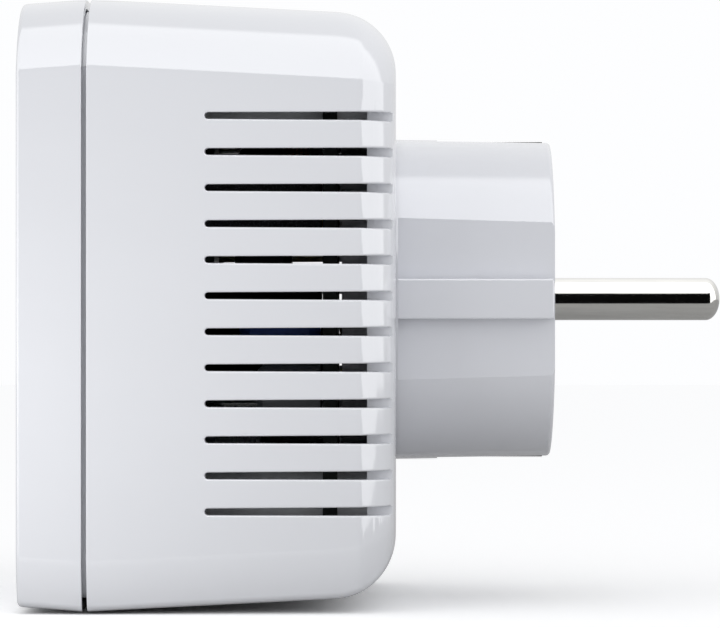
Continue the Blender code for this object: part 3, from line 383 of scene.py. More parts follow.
def case_outline(y, side, end):
    """The case's outline at y, moved in by side at its two sides and by end at its top and bottom."""
    half_width = HALF_WIDTH - shrink(y) - side
    top = TOP_Z - shrink(y) - end
    bottom = BOTTOM_Z + shrink(y) + end
    crease_z = TOP_Z - shrink(y) - TOP_CREASE_DEPTH
    radius = (top - crease_z) / (1 - math.sin(TOP_CREASE))
    right = arc((half_width - radius * math.cos(TOP_CREASE), top - radius), radius,
                math.pi / 2, TOP_CREASE, 28)
    skirt_height = SKIRT_HEIGHT * (1 - end / (REAR_FILLET + WALL))
    skirt_low = bottom + BOTTOM_CORNER * (1 - math.sin(SKIRT_END))
    skirt_radius = skirt_height / (math.sin(SKIRT_END) - math.sin(SKIRT_START))
    skirt_middle = (half_width - skirt_radius * math.cos(SKIRT_START),
                    skirt_low + skirt_radius * math.sin(SKIRT_END))
    right += arc(skirt_middle, skirt_radius, -SKIRT_START, -SKIRT_END, 6)
    tip_x = skirt_middle[0] + (skirt_radius - BOTTOM_CORNER) * math.cos(SKIRT_END)
    right += arc((tip_x, bottom + BOTTOM_CORNER), BOTTOM_CORNER, -SKIRT_END, -math.pi / 2, 10)[1:]
    return [(x, y, z) for x, z in right + mirrored(right)]


def front_edge(end_y, inset, steps):
    """(y, side, end) stations that round a front edge, from the flat end face to the wall."""
    stations = []
    for k in range(steps + 1):
        angle = math.pi / 2 * (1 - k / steps)
        depth = inset + FRONT_FILLET * (1 - math.cos(angle))
        stations.append((end_y + FRONT_FILLET * (1 - math.sin(angle)), depth, depth))
    return stations


def rear_edge(end_y, inset, radius, steps):
    """(y, side, end) stations that round the rear edge, from the wall to the flat end face."""
    angles = [REAR_CREASE * k / 6 for k in range(6)]
    angles += [REAR_CREASE + (math.pi / 2 - REAR_CREASE) * k / steps for k in range(steps + 1)]
    stations = []
    for angle in angles:
        side = radius * max(0.0, math.cos(REAR_CREASE) - math.cos(angle))
        stations.append((end_y - radius * (1 - math.sin(angle)), inset + side,
                         inset + radius * (1 - math.cos(angle))))
    return stations


def crisp_creases(obj):
    """Keep the creases around the flat side panels sharp."""
    shape = bmesh.new()
    shape.from_mesh(obj.data)
    panel = math.cos(math.radians(PANEL_LEAN))
    for edge in shape.edges:
        if len(edge.link_faces) == 2 and edge.calc_face_angle() > math.radians(CREASE_LEAST):
            if max(abs(face.normal.x) for face in edge.link_faces) > panel:
                edge.smooth = False
    shape.to_mesh(obj.data)
    shape.free()


def post_places():
    """(x, z) of the four screw posts."""
    return [(sx * POST_X, CASE_MIDDLE_Z + sz * POST_Z) for sx in (-1, 1) for sz in (-1, 1)]


def light_places():
    """x of the three lights."""
    return [k * LIGHT_SPACING for k in (-1, 0, 1)]


# ---------------------------------------------------------------- materials
WAVE_LENGTH = 0.314                 # a wave texture of scale 1 repeats after this distance


def new_material(name):
    """A material with its node tree and shader."""
    material = bpy.data.materials.new(name)
    material.use_nodes = True
    return material, material.node_tree, material.node_tree.nodes["Principled BSDF"]


def link(tree, source, target):
    tree.links.new(source, target)


def own_space(tree):
    """Coordinates in metres, fixed to the piece."""
    return tree.nodes.new("ShaderNodeTexCoord").outputs["Object"]


def noise(tree, size, detail=3.0, stretch=(1, 1, 1)):
    """Noise whose features are about size metres across."""
    mapping = tree.nodes.new("ShaderNodeMapping")
    mapping.inputs["Scale"].default_value = stretch
    texture = tree.nodes.new("ShaderNodeTexNoise")
    texture.inputs["Scale"].default_value = 1 / size
    texture.inputs["Detail"].default_value = detail
    link(tree, own_space(tree), mapping.inputs["Vector"])
    link(tree, mapping.outputs["Vector"], texture.inputs["Vector"])
    return texture.outputs["Fac"]


def ramp(tree, factor, stops):
    """A colour ramp: stops are (position, colour) pairs."""
    node = tree.nodes.new("ShaderNodeValToRGB")
    for k, (position, colour) in enumerate(stops):
        stop = node.color_ramp.elements[k] if k < 2 else node.color_ramp.elements.new(position)
        stop.position = position
        stop.color = (*colour, 1.0)
    link(tree, factor, node.inputs["Fac"])
    return node.outputs["Color"]


def span(tree, factor, low, high):
    """Spread a 0 to 1 value, whose middle half matters most, between low and high."""
    node = tree.nodes.new("ShaderNodeMapRange")
    node.inputs["From Min"].default_value = 0.3
    node.inputs["From Max"].default_value = 0.7
    node.inputs["To Min"].default_value = low
    node.inputs["To Max"].default_value = high
    link(tree, factor, node.inputs["Value"])
    return node.outputs["Result"]


def bump(tree, shader, height, depth, strength=1.0):
    """Relief of a depth in metres."""
    node = tree.nodes.new("ShaderNodeBump")
    node.inputs["Strength"].default_value = strength
    node.inputs["Distance"].default_value = depth
    link(tree, height, node.inputs["Height"])
    link(tree, node.outputs["Normal"], shader.inputs["Normal"])


def tinted(colour, amount):
    """A colour made lighter or darker."""
    return tuple(min(1.0, channel * amount) for channel in colour)


def plastic(name, colour, roughness, grain, depth, spread=0.02, coat=0.0):
    """Moulded plastic: faint flow marks in the colour, uneven gloss and a fine moulded skin."""
    material, tree, shader = new_material(name)
    flow = noise(tree, 9 * MM, 4.0, (1, 0.4, 1))
    link(tree, ramp(tree, flow, [(0.3, tinted(colour, 1 - spread)), (0.7, tinted(colour, 1 + spread / 2))]),
         shader.inputs["Base Color"])
    link(tree, span(tree, noise(tree, 4 * MM), roughness * 0.85, roughness * 1.15),
         shader.inputs["Roughness"])
    shader.inputs["Coat Weight"].default_value = coat
    shader.inputs["Coat Roughness"].default_value = 0.04
    bump(tree, shader, noise(tree, grain, 2.0), depth)
    return material


def metal(name, colour, roughness, stretch=(1, 1, 1), grain=0.5 * MM, depth=0.002 * MM):
    """Plated or drawn metal: streaks along the direction in which it was worked."""
    material, tree, shader = new_material(name)
    shader.inputs["Metallic"].default_value = 1.0
    streaks = noise(tree, grain, 4.0, stretch)
    link(tree, ramp(tree, streaks, [(0.3, tinted(colour, 0.93)), (0.7, tinted(colour, 1.03))]),
         shader.inputs["Base Color"])
    link(tree, span(tree, streaks, roughness * 0.8, roughness * 1.25), shader.inputs["Roughness"])
    bump(tree, shader, streaks, depth)
    return material


def ferrite_material(name, colour):
    """Sintered ceramic with light grains in a dark body."""
    material, tree, shader = new_material(name)
    cells = tree.nodes.new("ShaderNodeTexVoronoi")
    cells.inputs["Scale"].default_value = 1 / (0.25 * MM)
    link(tree, own_space(tree), cells.inputs["Vector"])
    link(tree, ramp(tree, cells.outputs["Distance"], [(0.1, tinted(colour, 2.2)), (0.5, colour)]),
         shader.inputs["Base Color"])
    link(tree, span(tree, noise(tree, 1 * MM), 0.5, 0.75), shader.inputs["Roughness"])
    bump(tree, shader, noise(tree, 0.3 * MM, 3.0), 0.02 * MM)
    return material


def banded(name, colour, other, width, axis, roughness=0.4, wobble=0.6):
    """Wound tape or wire: repeated turns across an axis, each with its own edge."""
    material, tree, shader = new_material(name)
    waves = tree.nodes.new("ShaderNodeTexWave")
    waves.bands_direction = axis
    waves.inputs["Scale"].default_value = WAVE_LENGTH / width
    waves.inputs["Distortion"].default_value = wobble
    link(tree, own_space(tree), waves.inputs["Vector"])
    link(tree, ramp(tree, waves.outputs["Fac"], [(0.15, other), (0.45, colour)]), shader.inputs["Base Color"])
    link(tree, span(tree, noise(tree, 2 * MM), roughness * 0.8, roughness * 1.2), shader.inputs["Roughness"])
    bump(tree, shader, waves.outputs["Fac"], 0.08 * MM, 0.6)
    return material


def board_material(name):
    """Green solder mask over copper tracks, with bare tinned pads."""
    material, tree, shader = new_material(name)
    turned_flat = tree.nodes.new("ShaderNodeMapping")
    turned_flat.inputs["Rotation"].default_value = (math.pi / 2, 0, 0)
    tracks = tree.nodes.new("ShaderNodeTexBrick")
    tracks.inputs["Scale"].default_value = 1 / (6 * MM)
    tracks.inputs["Mortar Size"].default_value = 0.05
    tracks.inputs["Mortar Smooth"].default_value = 0.2
    tracks.inputs["Color1"].default_value = (0.012, 0.13, 0.05, 1)
    tracks.inputs["Color2"].default_value = (0.018, 0.16, 0.06, 1)
    tracks.inputs["Mortar"].default_value = (0.04, 0.26, 0.10, 1)
    pads = tree.nodes.new("ShaderNodeTexVoronoi")
    pads.inputs["Scale"].default_value = 1 / (2.6 * MM)
    mask = tree.nodes.new("ShaderNodeMath")
    mask.operation = "LESS_THAN"
    mask.inputs[1].default_value = 0.17
    mix = tree.nodes.new("ShaderNodeMix")
    mix.data_type = "RGBA"
    mix.inputs["B"].default_value = (0.62, 0.61, 0.58, 1)
    link(tree, own_space(tree), turned_flat.inputs["Vector"])
    link(tree, turned_flat.outputs["Vector"], tracks.inputs["Vector"])
    link(tree, own_space(tree), pads.inputs["Vector"])
    link(tree, pads.outputs["Distance"], mask.inputs[0])
    link(tree, mask.outputs["Value"], mix.inputs["Factor"])
    link(tree, tracks.outputs["Color"], mix.inputs["A"])
    link(tree, mix.outputs["Result"], shader.inputs["Base Color"])
    link(tree, mask.outputs["Value"], shader.inputs["Metallic"])
    link(tree, span(tree, noise(tree, 3 * MM), 0.25, 0.4), shader.inputs["Roughness"])
    bump(tree, shader, tracks.outputs["Fac"], 0.02 * MM, 0.5)
    return material


def striped_insulation(name, colour, stripe):
    """Wire insulation with a second colour running along it."""
    material, tree, shader = new_material(name)
    waves = tree.nodes.new("ShaderNodeTexWave")
    waves.bands_direction = "X"
    waves.inputs["Scale"].default_value = WAVE_LENGTH / (0.9 * MM)
    link(tree, own_space(tree), waves.inputs["Vector"])
    link(tree, ramp(tree, waves.outputs["Fac"], [(0.55, colour), (0.62, stripe)]),
         shader.inputs["Base Color"])
    link(tree, span(tree, noise(tree, 1 * MM), 0.35, 0.5), shader.inputs["Roughness"])
    bump(tree, shader, noise(tree, 0.2 * MM), 0.01 * MM)
    return material


def clear_material(name, colour):
    """Frosted light-guiding plastic: part of the light goes through it."""
    material, tree, shader = new_material(name)
    cloud = noise(tree, 1.5 * MM, 3.0)
    link(tree, ramp(tree, cloud, [(0.3, tinted(colour, 0.94)), (0.7, colour)]), shader.inputs["Base Color"])
    shader.inputs["Transmission Weight"].default_value = 0.45
    shader.inputs["IOR"].default_value = 1.49
    link(tree, span(tree, cloud, 0.16, 0.28), shader.inputs["Roughness"])
    bump(tree, shader, noise(tree, 0.15 * MM), 0.004 * MM)
    return material


def make_materials():
    """One material for each of the record's slots: its builder and what the builder takes."""
    recipes = {
        "case_plastic": (plastic, (0.80, 0.81, 0.845), 0.09, 0.6 * MM, 0.0004 * MM, 0.01, 0.8),
        "plug_plastic": (plastic, (0.75, 0.76, 0.80), 0.14, 0.5 * MM, 0.0006 * MM, 0.015, 0.8),
        "grey_plastic": (plastic, (0.30, 0.31, 0.33), 0.45, 0.2 * MM, 0.01 * MM, 0.06),
        "black_plastic": (plastic, (0.02, 0.02, 0.022), 0.45, 0.15 * MM, 0.01 * MM, 0.2),
        "light_pipe": (clear_material, (0.78, 0.83, 0.86)),
        "nickel_plate": (metal, (0.70, 0.69, 0.66), 0.09, (1, 0.06, 1), 0.3 * MM),
        "screw_steel": (metal, (0.50, 0.50, 0.50), 0.30),
        "tin_plate": (metal, (0.60, 0.60, 0.60), 0.26, (1, 1, 0.08)),
        "gold_plate": (metal, (0.80, 0.58, 0.22), 0.20, (1, 1, 0.1), 0.2 * MM),
        "aluminium": (metal, (0.70, 0.71, 0.72), 0.36, (1, 1, 0.05)),
        "circuit_board": (board_material,),
        "ferrite": (ferrite_material, (0.05, 0.05, 0.055)),
        "black_circuit_board": (plastic, (0.012, 0.015, 0.014), 0.4, 0.8 * MM, 0.01 * MM, 0.3),
        "black_tape": (banded, (0.025, 0.023, 0.022), (0.012, 0.011, 0.011), 1.6 * MM, "Z", 0.35, 0.3),
        "yellow_tape": (banded, (0.85, 0.66, 0.10), (0.66, 0.45, 0.05), 1.6 * MM, "Y", 0.35, 0.3),
        "copper_wire": (banded, (0.72, 0.30, 0.14), (0.25, 0.08, 0.04), 0.5 * MM, "Y", 0.3, 0.2),
        "blue_coat": (plastic, (0.04, 0.10, 0.42), 0.35, 1.0 * MM, 0.02 * MM, 0.12),
        "black_sleeve": (plastic, (0.015, 0.015, 0.02), 0.25, 2.0 * MM, 0.02 * MM, 0.25),
        "label_film": (metal, (0.62, 0.63, 0.65), 0.45, (0.03, 1, 1), 0.15 * MM),
        "silicone_pad": (plastic, (0.45, 0.50, 0.55), 0.75, 0.2 * MM, 0.02 * MM, 0.06),
        "brown_insulation": (plastic, (0.16, 0.06, 0.02), 0.38, 0.3 * MM, 0.008 * MM, 0.1),
        "blue_insulation": (plastic, (0.02, 0.08, 0.40), 0.38, 0.3 * MM, 0.008 * MM, 0.1),
        "green_insulation": (striped_insulation, (0.08, 0.40, 0.06), (0.80, 0.70, 0.05)),
    }
    return {name: build(name, *values) for name, (build, *values) in recipes.items()}


# ---------------------------------------------------------------- case
def rounded_rim(rim_y, direction):
    """(y, inset) pairs that round a shell's outer edge at the seam, from its rim outwards."""
    return [(rim_y + direction * SEAM_ROUND * (1 - math.cos(a)), SEAM_ROUND * (1 - math.sin(a)))
            for a in quarter(4)]


def make_front_cover(material):
    """The front shell: rebated rim, screw posts, the button's collar and openings with rounded mouths."""
    rim_y = SEAM_Y - SEAM_WIDTH / 2
    inner_y = FRONT_Y + COVER_FACE
    rebate_y = rim_y - TONGUE_LENGTH - GAP
    rebate = TONGUE_INSET - GAP
    outside = front_edge(FRONT_Y, 0.0, 8) + [(y, inset, inset) for y, inset in rounded_rim(rim_y, -1)[::-1]]
    step = [(rim_y, rebate, rebate), (rebate_y, rebate, rebate), (rebate_y, WALL, WALL)]
    inside = front_edge(inner_y, WALL, 3)[::-1]
    rings = [case_outline(*station) for station in outside + step + inside]
    cover = new_object("front_cover_fine", lofted(rings))
    root_y = inner_y - ROOT
    posts = [disc(COVER_POST_RADIUS, root_y, POST_NOSE_Y - GAP, x, z, 32) for x, z in post_places()]
    collar = disc(BUTTON_FLANGE_RADIUS - COLLAR_STEP, root_y, COLLAR_END_Y, 0, BUTTON_Z, 64)
    carve(cover, gathered(posts + [collar]), "UNION")
    pilots = [disc(COVER_PILOT_RADIUS, inner_y + GAP, POST_NOSE_Y + REACH, x, z, 24)
              for x, z in post_places()]
    opening = turned(mouth_profile(BUTTON_RADIUS + GAP, COLLAR_END_Y + REACH), 96, (0, 0, BUTTON_Z))
    windows = [turned(mouth_profile(LIGHT_RADIUS + GAP, inner_y + REACH), 32, (x, 0, LIGHT_Z))
               for x in light_places()]
    carve(cover, gathered(pilots + [opening] + windows))
    crisp_creases(cover)
    return finished(cover, "front_cover", material)


def mouth_profile(radius, end_y):
    """A cutter's outline for a hole in the front face, with a small rounded mouth."""
    mouth = [(radius + MOUTH_LIP * (1 - math.sin(a)), FRONT_Y + MOUTH_LIP * (1 - math.cos(a)))
             for a in quarter(4)]
    start = [(0, FRONT_Y - REACH), (radius + MOUTH_LIP, FRONT_Y - REACH)]
    return start + mouth + [(radius, end_y), (0, end_y)]


def vent_half_height(y):
    """A vent widens evenly from its front end to its rear end."""
    along = (y - VENT_FRONT_Y) / (VENT_END_Y - VENT_FRONT_Y)
    return (VENT_FRONT_WIDTH + (VENT_REAR_WIDTH - VENT_FRONT_WIDTH) * along) / 2


def vent_centres():
    """z of the middle of each vent."""
    return [VENT_MIDDLE_Z + (k - (VENT_COUNT - 1) / 2) * VENT_PITCH for k in range(VENT_COUNT)]


def vent_slot(middle_z, side):
    """One vent's bar, with a round front end."""
    half_front, half_rear = VENT_FRONT_WIDTH / 2, VENT_REAR_WIDTH / 2
    front = arc((VENT_FRONT_Y + half_front, middle_z), half_front, math.pi / 2, 3 * math.pi / 2, 8)
    outline = front + [(VENT_END_Y, middle_z - half_rear), (VENT_END_Y, middle_z + half_rear)]
    return extruded([(side * VENT_FLOOR_X, y, z) for y, z in outline], (side * VENT_CUT_LENGTH, 0, 0))


def vent_stations():
    """Places (x, y) on the side wall along a vent, with the wall's outward direction at each."""
    start = VENT_FRONT_Y + VENT_FRONT_WIDTH / 2
    bend = BACK_Y - REAR_FILLET * (1 - math.sin(REAR_CREASE))
    pairs = [(start + (bend - start) * k / 4, 0.0) for k in range(4)]
    for k in range(25):
        angle = REAR_CREASE + (math.pi / 2 - REAR_CREASE) * k / 24
        pairs.append((BACK_Y - REAR_FILLET * (1 - math.sin(angle)),
                      REAR_FILLET * (math.cos(REAR_CREASE) - math.cos(angle))))
    points = [Vector((HALF_WIDTH - shrink(y) - inset, y)) for y, inset in pairs]
    stations = []
    for k in range(len(points) - 1):
        before = points[max(k - 1, 0)]
        along = (points[k + 1] - before).normalized()
        if points[k].x - VENT_FLOOR_X > VENT_ROUND:
            stations.append((points[k], Vector((along.y, -along.x)), along))
    return stations


def vent_flare(middle_z, side):
    """A shallow cutter that follows the curved wall and rounds one vent's edges."""
    stations = vent_stations()
    above, flare = 0.25 * MM, 1.15          # the cutter stands above the wall, a little wider there
    skim = 0.004 * MM                       # keeps its rounding off the wall's own surface
    below, narrower = 0.08 * MM, 0.04 * MM  # and it ends inside the slot, narrower than it
    levels = [(-above, VENT_ROUND * flare)]
    for k in range(5):
        turn = math.pi / 2 * (1 - k / 4)
        levels.append((VENT_ROUND * (1 - math.sin(turn)) - skim, VENT_ROUND * (1 - math.cos(turn))))
    levels.append((VENT_ROUND + below, -narrower))
    shape = bmesh.new()
    loops = []
    arc_steps = 8

    def corner(place, outward, depth, z):
        spot = place - outward * depth
        return shape.verts.new((side * spot.x, spot.y, middle_z + z))

    for depth, offset in levels:
        place, outward, along = stations[0]
        radius = VENT_FRONT_WIDTH / 2 + offset
        turns = [math.pi / 2 + math.pi * k / arc_steps for k in range(arc_steps + 1)]
        front = [corner(place + along * radius * math.cos(t), outward, depth, radius * math.sin(t))
                 for t in turns]
        lower, upper = [], []
        for place, outward, along in stations[1:]:
            half = vent_half_height(place.y) + offset
            lower.append(corner(place, outward, depth, -half))
            upper.append(corner(place, outward, depth, half))
        loops.append((front, lower, upper))
    for (front_a, lower_a, upper_a), (front_b, lower_b, upper_b) in zip(loops, loops[1:]):
        skin(shape, front_a + lower_a + upper_a[::-1], front_b + lower_b + upper_b[::-1])
    for front, lower, upper in (loops[0], loops[-1]):
        shape.faces.new(front)
        low, high = [front[-1]] + lower, [front[0]] + upper
        for k in range(len(low) - 1):
            shape.faces.new((low[k], low[k + 1], high[k + 1], high[k]))
    return shape


def make_rear_housing(material):
    """The rear shell: tongue, posts with deep screw holes, openings, a pocket for the label and the vents."""
    rim_y = SEAM_Y + SEAM_WIDTH / 2
    tongue_y = SEAM_Y - SEAM_WIDTH / 2 - TONGUE_LENGTH
    inner_y = BACK_Y - BACK_WALL
    outside = [(y, inset, inset) for y, inset in rounded_rim(rim_y, 1)]
    outside += rear_edge(BACK_Y, 0.0, REAR_FILLET, 20)
    inside = [(tongue_y, WALL, WALL)] + rear_edge(inner_y, WALL, REAR_FILLET - WALL, 6)
    tongue = [(rim_y, TONGUE_INSET, TONGUE_INSET), (tongue_y, TONGUE_INSET, TONGUE_INSET)]
    rings = [case_outline(*station) for station in outside[::-1] + tongue + inside]
    housing = new_object("rear_housing_fine", lofted(rings))
    root_y = inner_y + ROOT
    post = [(0, root_y), (POST_RADIUS, root_y), (POST_RADIUS, MAIN_REAR_Y + GAP),
            (POST_NOSE_RADIUS, MAIN_REAR_Y + GAP), (POST_NOSE_RADIUS, POST_NOSE_Y), (0, POST_NOSE_Y)]
    carve(housing, gathered([turned(post, 32, (x, 0, z)) for x, z in post_places()]), "UNION")
    head = SCREW_HEAD_RADIUS + GAP
    shank = SCREW_SHANK_RADIUS + GAP
    soft, skim = 0.1 * MM, 0.01 * MM
    bore = [(0, BACK_Y + REACH), (head + BORE_LIP, BACK_Y + REACH), (head + BORE_LIP, BACK_Y + skim),
            (head + soft, BACK_Y - soft), (head, BACK_Y - BORE_LIP), (head, SCREW_SEAT_Y),
            (shank, SCREW_SEAT_Y), (shank, POST_NOSE_Y - REACH), (0, POST_NOSE_Y - REACH)]
    plug_hole = disc(PUCK_RADIUS + GAP, inner_y - REACH, BACK_Y + REACH, segments=144)
    carve(housing, gathered([turned(bore, 48, (x, 0, z)) for x, z in post_places()] + [plug_hole]))
    margin = SHIELD_THICKNESS + 2 * GAP
    half_socket = JACK_WIDTH / 2 + margin
    socket = block((-half_socket, JACK_FRONT_Y - margin, BOTTOM_Z - REACH),
                   (half_socket, JACK_REAR_Y + margin, BOTTOM_Z + 5 * REACH))
    reset = upright(disc(RESET_RADIUS + GAP, -WALL, WALL, segments=48),
                    (RESET_X, RESET_Y, BOTTOM_Z + WALL / 2))
    low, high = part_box("type_label")
    margin = Vector((GAP, 0, GAP))
    pocket = block(low - margin - Vector((0, GAP, 0)), high + margin + Vector((0, REACH, 0)))
    carve(housing, gathered([socket, reset, pocket]))
    both = [(z, side) for z in vent_centres() for side in (-1, 1)]
    carve(housing, gathered([vent_slot(z, side) for z, side in both]))
    carve(housing, gathered([vent_flare(z, side) for z, side in both]))
    crisp_creases(housing)
    return finished(housing, "rear_housing", material)


def make_type_label(material):
    """A blank foil label with softened edges."""
    low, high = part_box("type_label")
    label = new_object("type_label_fine", block(low, high, 0.05 * MM, 2))
    return finished(label, "type_label", material)


def make_case_screw(number, x, z, material):
    """A pan-head screw with a domed head, a cross recess and a threaded shank."""
    seat = SCREW_SEAT_Y + GAP
    head_y = seat + SCREW_HEAD_HEIGHT
    dome = [(SCREW_HEAD_RADIUS * math.sin(a), head_y - SCREW_DOME * (1 - math.cos(a)))
            for a in quarter(8)[1:]]
    thread = []
    y = seat - THREAD_START
    while y > SCREW_TIP_Y + THREAD_STOP:
        thread += [(SCREW_SHANK_RADIUS, y), (SCREW_SHANK_RADIUS * THREAD_ROOT, y - 0.25 * MM),
                   (SCREW_SHANK_RADIUS * THREAD_ROOT, y - 0.35 * MM)]
        y -= THREAD_PITCH
    profile = [(0, head_y)] + dome + [(SCREW_HEAD_RADIUS, seat), (SCREW_SHANK_RADIUS, seat)] + thread + [
        (SCREW_SHANK_RADIUS * THREAD_ROOT, SCREW_TIP_Y + SCREW_SHANK_RADIUS), (0, SCREW_TIP_Y)]
    node = f"case_screw_{number}"
    screw = new_object(f"{node}_fine", turned(profile, 40, (x, 0, z)))
    arm = [(CROSS_LONG, CROSS_SHORT), (CROSS_SHORT, CROSS_SHORT), (CROSS_SHORT, CROSS_LONG)]
    outline = []
    for turn in range(4):
        spin = Matrix.Rotation(turn * math.pi / 2, 2)
        outline += [spin @ Vector(corner) for corner in arm]
    floor_y = head_y - CROSS_DEPTH
    carve(screw, extruded([(x + p.x, floor_y, z + p.y) for p in outline], (0, 2 * REACH, 0)))
    return finished(screw, node, material)


# ---------------------------------------------------------------- controls, lights and socket
def make_pairing_button(material):
    """Push button with a shallow dish for the finger and a rounded edge."""
    face_y = FRONT_Y + BUTTON_SINK
    flange_y = COLLAR_END_Y + GAP
    flange_end_y = flange_y + BUTTON_FLANGE_THICKNESS
    stem_y = SWITCH_TOP_Y - GAP - PLUNGER_LENGTH - GAP
    inner = BUTTON_RADIUS - BUTTON_EDGE
    dish = [(inner * k / 10, face_y + BUTTON_DISH * (1 - (k / 10) ** 2)) for k in range(10)]
    rim = [(inner + BUTTON_EDGE * math.sin(a), face_y + BUTTON_EDGE * (1 - math.cos(a)))
           for a in quarter(6)]
    profile = dish + rim + [
        (BUTTON_RADIUS, flange_y), (BUTTON_FLANGE_RADIUS, flange_y), (BUTTON_FLANGE_RADIUS, flange_end_y),
        (BUTTON_STEM_RADIUS, flange_end_y), (BUTTON_STEM_RADIUS, stem_y), (0, stem_y)]
    button = new_object("pairing_button_fine", turned(profile, 96, (0, 0, BUTTON_Z)))
    return finished(button, "pairing_button", material, "pairing_button")


def make_reset_button(material):
    """The recessed button under the case, with a rounded tip and a collar that keeps it in."""
    collar_z = RESET_LENGTH - RESET_COLLAR_THICKNESS
    tip = [(RESET_RADIUS - RESET_EDGE + RESET_EDGE * math.sin(a), RESET_EDGE * (1 - math.cos(a)))
           for a in quarter(5)]
    profile = [(0, 0)] + tip + [(RESET_RADIUS, collar_z), (RESET_COLLAR_RADIUS, collar_z),
                                (RESET_COLLAR_RADIUS, RESET_LENGTH), (0, RESET_LENGTH)]
    button = new_object("reset_button_fine",
                        upright(turned(profile, 48), (RESET_X, RESET_Y, RESET_TIP_Z)))
    return finished(button, "reset_button", material, "reset_button")


def make_light_pipe(name, x, material):
    """Light pipe with a lens end, a collar behind the front face and a straight stem."""
    tip_y = FRONT_Y + LIGHT_SINK
    lens = [(LIGHT_RADIUS * math.sin(a), tip_y + LIGHT_LENS * (1 - math.cos(a)))
            for a in quarter(8)[1:]]
    collar_y = FRONT_Y + COVER_FACE + GAP
    collar_end_y = collar_y + LIGHT_COLLAR_THICKNESS
    end_y = MAIN_FRONT_Y - GAP - LED_HEIGHT - GAP
    profile = [(0, tip_y)] + lens + [
        (LIGHT_RADIUS, collar_y), (LIGHT_COLLAR_RADIUS, collar_y), (LIGHT_COLLAR_RADIUS, collar_end_y),
        (LIGHT_RADIUS, collar_end_y), (LIGHT_RADIUS, end_y), (0, end_y)]
    pipe = new_object(f"light_pipe_{name}_fine", turned(profile, 48, (x, 0, LIGHT_Z)))
    return finished(pipe, f"light_pipe_{name}", material)


def make_network_socket(materials):
    """The socket's body with its keyed cavity, its sheet-metal shield and its contacts."""
    half = JACK_WIDTH / 2
    body = block((-half, JACK_FRONT_Y, JACK_MOUTH_Z), (half, JACK_REAR_Y, JACK_TOP_Z), 0.2 * MM)
    jack = new_object("ethernet_jack_housing_fine", body)
    half_cavity, half_latch = CAVITY_WIDTH / 2, LATCH_WIDTH / 2
    mouth = [(-half_cavity, CAVITY_FRONT_Y), (half_cavity, CAVITY_FRONT_Y), (half_cavity, CAVITY_REAR_Y),
             (half_latch, CAVITY_REAR_Y), (half_latch, LATCH_REAR_Y), (-half_latch, LATCH_REAR_Y),
             (-half_latch, CAVITY_REAR_Y), (-half_cavity, CAVITY_REAR_Y)]
    below = JACK_MOUTH_Z - REACH
    carve(jack, extruded([(x, y, below) for x, y in mouth], (0, 0, JACK_DEPTH + REACH)))
    finished(jack, "ethernet_jack_housing", materials["black_plastic"])
    inner = Vector((GAP, GAP, 0))
    outer = inner + Vector((SHIELD_THICKNESS, SHIELD_THICKNESS, 0))
    low = Vector((-half, JACK_FRONT_Y, JACK_MOUTH_Z))
    high = Vector((half, JACK_REAR_Y, JACK_TOP_Z + GAP))
    shield = new_object("ethernet_jack_shield_fine",
                        block(low - outer, high + outer + Vector((0, 0, SHIELD_THICKNESS)), 0.12 * MM))
    carve(shield, block(low - inner - Vector((0, 0, REACH)), high + inner))
    finished(shield, "ethernet_jack_shield", materials["tin_plate"])
    make_jack_contacts(materials["gold_plate"])


def make_jack_contacts(material):
    """Eight sprung contacts with rounded edges on one bar, leaning into the socket's cavity."""
    bar_high = JACK_MOUTH_Z + JACK_DEPTH - GAP
    bar_low = bar_high - CONTACT_BAR_HEIGHT
    tip_z = JACK_MOUTH_Z + CONTACT_TIP_DEPTH
    half_bar = (CONTACT_COUNT - 1) / 2 * CONTACT_PITCH + CONTACT_WIDTH / 2
    low_y = CAVITY_FRONT_Y + GAP
    shapes = [block((-half_bar, low_y, bar_low), (half_bar, low_y + CONTACT_WIDTH, bar_high), 0.05 * MM, 2)]
    for k in range(CONTACT_COUNT):
        left = -half_bar + k * CONTACT_PITCH
        shapes.append(block((left, low_y, tip_z), (left + CONTACT_WIDTH, low_y + CONTACT_WIDTH, bar_high),
                            0.1 * MM, 3))
    comb = gathered(shapes)
    lean = CONTACT_LEAN / (bar_high - tip_z)
    for corner in comb.verts:
        corner.co.y += (corner.co.z - tip_z) * lean
    finished(new_object("ethernet_jack_contacts_fine", comb), "ethernet_jack_contacts", material)


